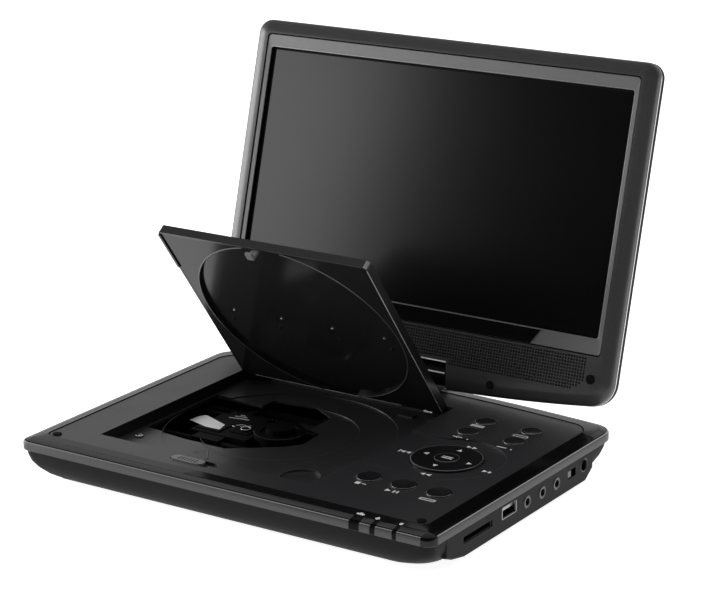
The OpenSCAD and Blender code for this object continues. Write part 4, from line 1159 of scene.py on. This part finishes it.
def make_edge_highlights():
    """Painted highlights on the lit edges of the panel's and the deck's shallow steps, and of the keys."""
    x = 39.75
    sweep("panel_step_highlights", "base", "dim_highlight", [
        [(x, -63.5), (x, -28.8), (62.8, -28.8)],
        [(62.8, 22.8), (x, 22.8), (x, 58)],
        arc(*NAV, 29.1, -66, 66, 48),
        arc(*NAV, 29.1, 116, 118, 2),
        arc(-17.4, LATCH_Y, LATCH_R, -90, 90, 24),
    ], 0.3, 0.06, PANEL_Z - 0.02)
    sweep("deck_step_highlights", "base", "dim_highlight", [
        arc(*SPINDLE, 41.1, -135, 60, 72),
        arc(19.5, -47.5, 10.1, 0, 360, 72),
        arc(*SPINDLE, 60.6, 184, 244, 30),
        arc(*SPINDLE, 60.6, -62, 34, 50),
    ], 0.3, 0.05, DECK_Z - 0.02)
    for name, place in KEYS.items():
        sweep(name + "_glint", name + "_body", "key_glint", [
            arc(*place, key_radius(name) - 0.3, -160, 10, 32),
        ], 0.3, 0.06, high(name).z - 0.03)
    top = high("nav_ring").z
    for name, body, radius, steps, width, z in (
        ("ring_glint", "nav_ring_body", 17.95, 60, 0.34, top - 0.06),
        ("middle_glint", "enter_key_body", 6.2, 32, 0.28, top + 0.06),
    ):
        sweep(name, body, "key_glint", [arc(*NAV, radius, -175, -10, steps)], width, 0.06, z)


def make_barrel_trim():
    """A thin rib along the hinge barrel, and one along the edge of the notch above it, painted white as
    highlights.
    """
    turn = math.radians(22)
    place = Matrix.Translation((0, TILT.y - RIB_R * math.cos(turn), TILT.z + RIB_R * math.sin(turn)))
    place = place @ Matrix.Rotation(math.radians(90) - turn, 4, "X")
    sweep("barrel_rib_highlight", "swivel_body", "mark_white", [[(-25.5, 0), (25.5, 0)]], 0.8, 0.25, 0, place)
    sweep("notch_edge_highlight", "screen_body", "mark_white", [
        [(-HALF_NOTCH, NOTCH_TOP - 0.3), (HALF_NOTCH, NOTCH_TOP - 0.3)],
    ], 0.8, 0.12, 0, face_plane(0.02))


def on_right(y, z):
    """A place on the port block's outer face, with its upright axis along X."""
    return Matrix.Translation((PORT_X, y, z)) @ Matrix.Rotation(math.radians(90), 4, "Y")


def make_port_trim():
    """Rims round the audio and power sockets, and the bright lip of the USB socket."""
    for number, y in enumerate(JACK_Y):
        lathe("jack_rim_%d" % number, "base", "socket_rim", (0, 0), [
            (1.85, -0.6), (1.9, 0.15), (2.2, 0.3), (2.9, 0.3), (3.2, 0.12), (3.35, -0.3),
        ], sides=48, place=on_right(y, JACK_Z))
    lathe("power_socket_rim", "base", "socket_rim", (0, 0), [
        (2.9, -0.6), (2.95, 0.1), (3.2, 0.22), (3.5, 0.1), (3.65, -0.3),
    ], sides=48, place=on_right(*DC))
    y, z, width, height = USB
    across = width / 2 - 0.1
    up = height / 2 - 0.1
    sweep("usb_lip", "base", "socket_metal_bright", [
        round_rect(-up, up, -across, across, 0.5, 4),
    ], 0.5, 0.15, 0, on_right(y, z))


make_materials()
make_stage()
make_camera()
dress_frame()
make_rim()
make_tub()
make_port_block()
make_keys()
make_nav()
make_marks()
make_bezel()
make_picture_frame()
make_lid_highlights()
make_drive_trim()
make_deck_trim()
make_edge_highlights()
make_barrel_trim()
make_port_trim()
